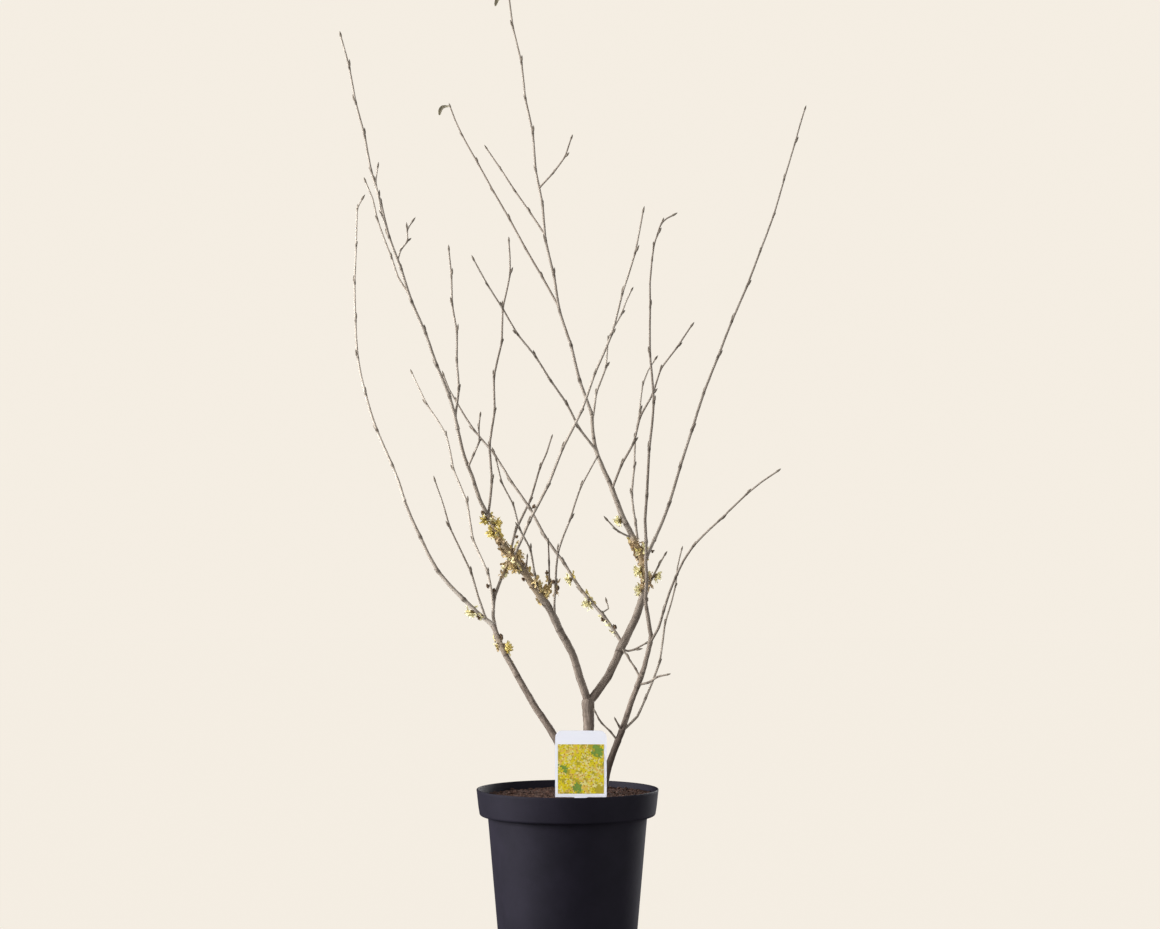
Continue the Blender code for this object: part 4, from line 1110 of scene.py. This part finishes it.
class WitchHazelCompost(Operator):
    """Lay the crumbly compost, and the loose bits on it"""

    bl_idname = "witch_hazel.compost"
    bl_label = "Compost"

    def execute(self, context):
        material = compost_material()
        inset = POT_WALL + COMPOST_GAP
        outer = wall_radius(COMPOST_TOP) - inset
        bm = bmesh.new()
        rows = []
        for ring in range(1, COMPOST_RINGS + 1):
            row = []
            for side in range(COMPOST_SIDES):
                turn = math.tau * side / COMPOST_SIDES
                place = Vector((math.cos(turn), math.sin(turn), 0.0)) * outer * ring / COMPOST_RINGS
                row.append(bm.verts.new((place.x, place.y, compost_height(place, outer))))
            rows.append(row)
        centre = bm.verts.new((0.0, 0.0, COMPOST_TOP - COMPOST_SETTLED))
        for side in range(COMPOST_SIDES):
            bm.faces.new((centre, rows[0][side - 1], rows[0][side]))
        ledge = POT_LEDGE + COMPOST_GAP
        foot = POT_WALL + COMPOST_GAP
        skirt = [(wall_radius(ledge) - inset, ledge), (POT_STEP_RADIUS - inset, ledge),
                 (wall_radius(foot) - inset - FOOT_ROUND, foot)]
        for radius, height in skirt:
            rows.append([bm.verts.new((*(vert.co.xy.normalized() * radius), height)) for vert in rows[-1]])
        for low, high in zip(rows, rows[1:]):
            for side in range(COMPOST_SIDES):
                bm.faces.new((low[side - 1], low[side], high[side], high[side - 1]))
        bm.faces.new(rows[-1])
        object_of(bm, "compost_fill", material, "compost", "compost")
        chance = random.Random(7)
        bm = bmesh.new()
        for number in range(CRUMBS):
            turn = chance.uniform(0.0, math.tau)
            reach = (outer - CRUMB_SIZES[1]) * math.sqrt(chance.random())
            size = chance.uniform(*CRUMB_SIZES)
            place = Vector((math.cos(turn), math.sin(turn), 0.0)) * reach
            height = compost_height(place, outer) + 0.3 * size
            matrix = Matrix.Translation((place.x, place.y, height))
            matrix = matrix @ Matrix.Rotation(chance.uniform(0.0, math.tau), 4, "Z")
            matrix = matrix @ Matrix.Rotation(chance.uniform(-0.7, 0.7), 4, "X")
            matrix = matrix @ Matrix.Diagonal((size * chance.uniform(0.8, 2.2), size, size * 0.55, 1.0))
            made = bmesh.ops.create_icosphere(bm, subdivisions=1, radius=1.0, matrix=matrix)
            for vert in made["verts"]:
                vert.co += Vector([chance.uniform(-0.18, 0.18) * size for axis in range(3)])
        object_of(bm, "compost_crumbs", material, "compost", smooth=False)
        return {"FINISHED"}


def card_points(half, low, high, corner):
    """The outline of the card, as x and z: square at the bottom, round at the top corners."""
    points = [(half, low)]
    for side, start in ((1, 0.0), (-1, 0.5 * math.pi)):
        points += [(side * (half - corner) + x, high - corner + z)
                   for x, z in arc((0.0, 0.0), corner, math.degrees(start), math.degrees(start) + 90.0, 8)]
    return points + [(-half, low)]


def lay_ink(bm, outline, layer, ink):
    """Print one flat shape of an ink on the card's front."""
    place = LABEL_Y - 0.5 * LABEL_THICKNESS - INK_STEP * (20 + layer)
    wide = 0.5 * LABEL_WIDTH - PRINT_MARGIN
    verts = []
    for x, z in outline:
        inside = (max(-wide, min(wide, x)), max(PRINT_LOW, min(PRINT_HIGH, z)))
        verts.append(bm.verts.new((LABEL_X + inside[0], place, LABEL_FOOT_HEIGHT + inside[1])))
    bm.faces.new(verts).material_index = ink


def blot(x, z, size, sides, chance):
    """The outline of one uneven round blot of ink."""
    reaches = [size * chance.uniform(0.75, 1.0) for side in range(sides)]
    turns = [math.tau * side / sides for side in range(sides)]
    return [(x + reach * math.cos(turn), z + reach * math.sin(turn)) for reach, turn in zip(reaches, turns)]


def ink_petal(middle, turn, length, width, phase):
    """The outline of one wavy petal of the printed blossom."""
    across = Vector((-math.sin(turn), math.cos(turn)))
    ahead = Vector((math.cos(turn), math.sin(turn)))
    left = []
    right = []
    for number in range(5):
        share = number / 4
        centre = middle + ahead * length * share + across * 0.07 * length * math.sin(7.0 * share + phase)
        left.append(tuple(centre + across * 0.5 * width))
        right.append(tuple(centre - across * 0.5 * width))
    return left + right[::-1]


class WitchHazelLabel(Operator):
    """Cut the plant label and print a plain blossom design on it"""

    bl_idname = "witch_hazel.label"
    bl_label = "Label"

    def execute(self, context):
        half = 0.5 * SPIKE_WIDTH
        tip = 0.5 * SPIKE_TIP_WIDTH
        taper = -SPIKE_TAPER_FROM * SPIKE_DEPTH
        outline = card_points(0.5 * LABEL_WIDTH, 0.0, LABEL_HEIGHT, LABEL_CORNER)
        outline += [(-half, 0.0), (-half, taper), (-tip, -SPIKE_DEPTH), (tip, -SPIKE_DEPTH), (half, taper), (half, 0.0)]
        bm = bmesh.new()
        front = LABEL_Y - 0.5 * LABEL_THICKNESS
        face = bm.faces.new([bm.verts.new((LABEL_X + x, front, LABEL_FOOT_HEIGHT + z)) for x, z in outline])
        made = bmesh.ops.extrude_face_region(bm, geom=[face])
        moved = [item for item in made["geom"] if isinstance(item, bmesh.types.BMVert)]
        bmesh.ops.translate(bm, verts=moved, vec=(0.0, LABEL_THICKNESS, 0.0))
        object_of(bm, "label_card", card_material(), "label", "plant_label", smooth=False)

        inks = [
            toned_material("ink_olive", "#c6b236", 0.34, 0.006, 0.00001, 0.30),
            toned_material("ink_green", "#7fa046", 0.34, 0.004, 0.00001, 0.35),
            toned_material("ink_yellow", "#f0dc2c", 0.34, 0.003, 0.00001, 0.12),
            toned_material("ink_pale_yellow", "#f3e896", 0.34, 0.003, 0.00001, 0.10),
            toned_material("ink_warm_yellow", "#efc860", 0.34, 0.003, 0.00001, 0.15),
            toned_material("ink_amber", "#c99526", 0.34, 0.003, 0.00001, 0.20),
        ]
        bm = bmesh.new()
        wide = 0.5 * LABEL_WIDTH - PRINT_MARGIN
        lay_ink(bm, [(-wide, PRINT_LOW), (wide, PRINT_LOW), (wide, PRINT_HIGH), (-wide, PRINT_HIGH)], 0, 0)
        chance = random.Random(3)
        layer = 0
        for number in range(INK_LEAVES):
            patch_x, patch_z, spread = INK_PATCHES[number % len(INK_PATCHES)]
            size = chance.uniform(0.0016, 0.0034)
            x = max(size - wide, min(wide - size, patch_x + chance.uniform(-spread, spread)))
            z = max(PRINT_LOW + size, min(PRINT_HIGH - size, patch_z + chance.uniform(-spread, spread)))
            layer += 1
            lay_ink(bm, blot(x, z, size, 9, chance), layer, 1)
        for number in range(INK_BLOSSOMS):
            size = chance.uniform(0.0038, 0.0054)
            x = chance.uniform(-wide, wide)
            z = chance.uniform(PRINT_LOW, PRINT_HIGH)
            warm = noise.noise(Vector((x, z, 0.0)) / INK_CLOUD) > 0.05
            if any(math.hypot(x - patch_x, z - patch_z) < 1.15 * spread for patch_x, patch_z, spread in INK_PATCHES):
                continue
            for petal in range(INK_PETALS):
                turn = math.tau * petal / INK_PETALS + chance.uniform(-0.25, 0.25)
                outline = ink_petal(Vector((x, z)), turn, size * chance.uniform(0.8, 1.0), 0.0016, petal)
                layer += 0.2
                lay_ink(bm, outline, layer, chance.choice((2, 4, 3) if warm else (2, 2, 3)))
            layer += 0.6
            lay_ink(bm, blot(x, z, 0.0010, 8, chance), layer, 5)
        object_of(bm, "label_print", inks, "label", smooth=False)
        return {"FINISHED"}


class WitchHazelWood(Operator):
    """Grow the stems, the boughs and the twigs with their buds"""

    bl_idname = "witch_hazel.wood"
    bl_label = "Wood"

    def execute(self, context):
        sizes = context.scene.witch_hazel_sizes
        drawn = draw_limbs()
        # Bough bark runs from the young stops, the paler tones high up, to the old stops, the darker tones low down
        young = ((0.30, "#7c7064"), (0.50, "#a09588"), (0.72, "#c2b8ab"))
        old = ((0.28, "#3f352f"), (0.46, "#685b51"), (0.60, "#887a6f"), (0.76, "#a79a8e"))
        # Twig bark runs from the pale stops to the dark ones, which paint shade on the twigs the lamps light less
        pale_twig = ((0.30, "#988c80"), (0.50, "#bbb0a3"), (0.72, "#d6cec3"))
        dark_twig = ((0.30, "#63594f"), (0.50, "#867b70"), (0.72, "#a99e93"))
        bark = bark_material("witch_hazel_bark_bough", young, old, "#4b3f38")
        twig_bark = bark_material("witch_hazel_bark_twig", pale_twig, dark_twig, "#5a5046")
        buds = bmesh.new()
        for node_name in dict.fromkeys(limb.node for limb in LIMBS.values()):
            bm = bark_mesh()
            for name, limb in LIMBS.items():
                if limb.node != node_name or name in WITHERED_LEAVES:
                    continue
                if name in BOUGHS:
                    grow_bough(bm, name, drawn, sizes)
                else:
                    grow_twig(bm, buds, name, drawn, sizes)
            if node_name in BOUGHS:
                object_of(bm, "bark_" + node_name, bark, "bark", node_name)
            else:
                object_of(bm, "bark_" + node_name, twig_bark, "twigs", node_name)
        felt = toned_material("bud_felt_brown", "#7c7266", 0.9, 0.0012, 0.0002, 0.3)
        object_of(buds, "winter_buds", felt, "twigs")
        return {"FINISHED"}


class WitchHazelBlossom(Operator):
    """Set the blossoms, the spent clusters and the withered leaves"""

    bl_idname = "witch_hazel.blossom"
    bl_label = "Blossom"

    def execute(self, context):
        sizes = context.scene.witch_hazel_sizes
        drawn = draw_limbs()
        petals = bmesh.new()
        cups = bmesh.new()
        for number, row in enumerate(BLOSSOMS):
            cluster(petals, cups, drawn, row, True, OPEN_CUPS, sizes, f"blossom {number}")
        for number, row in enumerate(SPENT_CLUSTERS):
            cluster(petals, cups, drawn, row, False, SPENT_CUPS, sizes, f"spent {number}")
        for number, row in enumerate(LATE_CUPS):
            cluster(petals, cups, drawn, row, False, LATE_CUP_COUNT, sizes, f"late {number}")
        for number, row in enumerate(FLOWERING_WOOD):
            crowd(petals, cups, drawn, row, sizes, f"crowd {number}")
        # The ribbon petals carry a small painted glow, painted light that lifts their shaded sides
        tints = [toned_material("ribbon_petal_" + tint, code, 0.6, 0.003, 0.00008, 0.25, PETAL_PAINTED_GLOW)
                 for tint, code in PETAL_COLOURS.items()]
        olive = toned_material("calyx_downy_olive", "#8d7a50", 0.85, 0.0012, 0.0002, 0.35)
        brown = toned_material("calyx_spent_brown", "#66523f", 0.88, 0.0012, 0.0002, 0.35)
        object_of(petals, "blossom_petals", tints, "twigs")
        object_of(cups, "blossom_calyxes", [olive, brown], "twigs")
        bm = bmesh.new()
        for name in WITHERED_LEAVES:
            rolled_leaf(bm, *drawn[name])
        # Painted light: a small glow lifts the shaded inside of each rolled leaf
        leaf = toned_material("withered_leaf_olive_brown", "#a8a18d", 0.8, 0.003, 0.0003, 0.25, LEAF_PAINTED_GLOW)
        object_of(bm, "withered_leaves", leaf, "twigs")
        return {"FINISHED"}


class WitchHazelStageSet(Operator):
    """Set the floor, the backdrop, the light and the camera"""

    bl_idname = "witch_hazel.stage"
    bl_label = "Stage"

    def execute(self, context):
        stage = context.scene.witch_hazel_stage
        material, tree = empty_material("studio_paper_cream")
        colour = list(stage.floor_colour)
        finish = {"Base Color": [FLOOR_BASE * channel for channel in colour[:3]] + [1.0],
                  "Emission Color": colour, "Emission Strength": FLOOR_GLOW,
                  "Roughness": 1.0, "Specular IOR Level": 0.0}
        shader = node(tree, "ShaderNodeBsdfPrincipled", finish)
        node(tree, "ShaderNodeOutputMaterial", Surface=shader.outputs["BSDF"])
        course = [(FLOOR_FLAT + x, FLOOR_CURVE + z) for x, z in arc((0.0, 0.0), FLOOR_CURVE, -90.0, 0.0, 24)]
        course.append((FLOOR_FLAT + FLOOR_CURVE, WALL_TOP))
        bm = bmesh.new()
        rows = []
        for radius, height in course:
            ring = arc((0.0, 0.0), radius, 0.0, 360.0, FLOOR_SIDES)[:-1]
            rows.append([bm.verts.new((x, y, height)) for x, y in ring])
        bm.faces.new(rows[0])
        for low, high in zip(rows, rows[1:]):
            for side in range(FLOOR_SIDES):
                bm.faces.new((low[side - 1], low[side], high[side], high[side - 1]))
        mesh = bpy.data.meshes.new("studio_floor")
        bm.to_mesh(mesh)
        bm.free()
        mesh.materials.append(material)
        mesh.shade_smooth()
        floor = bpy.data.objects.new("studio_floor", mesh)
        floor.visible_diffuse = False
        floor.visible_glossy = False
        floor.visible_shadow = False
        context.scene.collection.objects.link(floor)
        camera = bpy.data.objects.new("camera", bpy.data.cameras.new("camera"))
        context.scene.collection.objects.link(camera)
        camera.location = (stage.camera_side, -stage.camera_distance, stage.camera_height)
        camera.rotation_euler = (math.radians(90.0), 0.0, 0.0)
        camera.data.sensor_width = 36.0
        camera.data.lens = stage.lens
        context.scene.camera = camera
        for name, place, size, power in LAMPS:
            data = bpy.data.lights.new(name, "AREA")
            data.energy = power
            data.size = size
            lamp = bpy.data.objects.new(name, data)
            context.scene.collection.objects.link(lamp)
            lamp.location = place
            lamp.rotation_mode = "QUATERNION"
            lamp.rotation_quaternion = (LAMP_AIM - Vector(place)).to_track_quat("-Z", "Y")
        world = bpy.data.worlds.new("studio_air")
        context.scene.world = world
        world.use_nodes = True
        air = world.node_tree.nodes["Background"]
        air.inputs["Color"].default_value = (1.0, 1.0, 1.0, 1.0)
        air.inputs["Strength"].default_value = AIR_LIGHT
        context.scene.view_settings.view_transform = "Standard"
        return {"FINISHED"}


class WitchHazelPanel(Panel):
    """Buttons in the order of work."""

    bl_idname = "VIEW3D_PT_witch_hazel"
    bl_label = "Witch hazel"
    bl_space_type = "VIEW_3D"
    bl_region_type = "UI"
    bl_category = "Witch hazel"

    def draw(self, context):
        for group in (context.scene.witch_hazel_sizes, context.scene.witch_hazel_stage):
            for key in group.__annotations__:
                self.layout.prop(group, key)
        for operator in OPERATORS:
            self.layout.operator(operator.bl_idname)


OPERATORS = (
    WitchHazelPot,
    WitchHazelCompost,
    WitchHazelLabel,
    WitchHazelWood,
    WitchHazelBlossom,
    WitchHazelStageSet,
)
CLASSES = (WitchHazelSizes, WitchHazelStage, *OPERATORS, WitchHazelPanel)


def register():
    """Make the add-on known to Blender."""
    for item in CLASSES:
        bpy.utils.register_class(item)
    bpy.types.Scene.witch_hazel_sizes = PointerProperty(type=WitchHazelSizes)
    bpy.types.Scene.witch_hazel_stage = PointerProperty(type=WitchHazelStage)


def unregister():
    """Take the add-on away."""
    del bpy.types.Scene.witch_hazel_stage
    del bpy.types.Scene.witch_hazel_sizes
    for item in reversed(CLASSES):
        bpy.utils.unregister_class(item)


def main():
    """Run every step in order."""
    register()
    bpy.ops.witch_hazel.pot()
    bpy.ops.witch_hazel.compost()
    bpy.ops.witch_hazel.label()
    bpy.ops.witch_hazel.wood()
    bpy.ops.witch_hazel.blossom()
    bpy.ops.witch_hazel.stage()


if __name__ == "__main__":
    main()
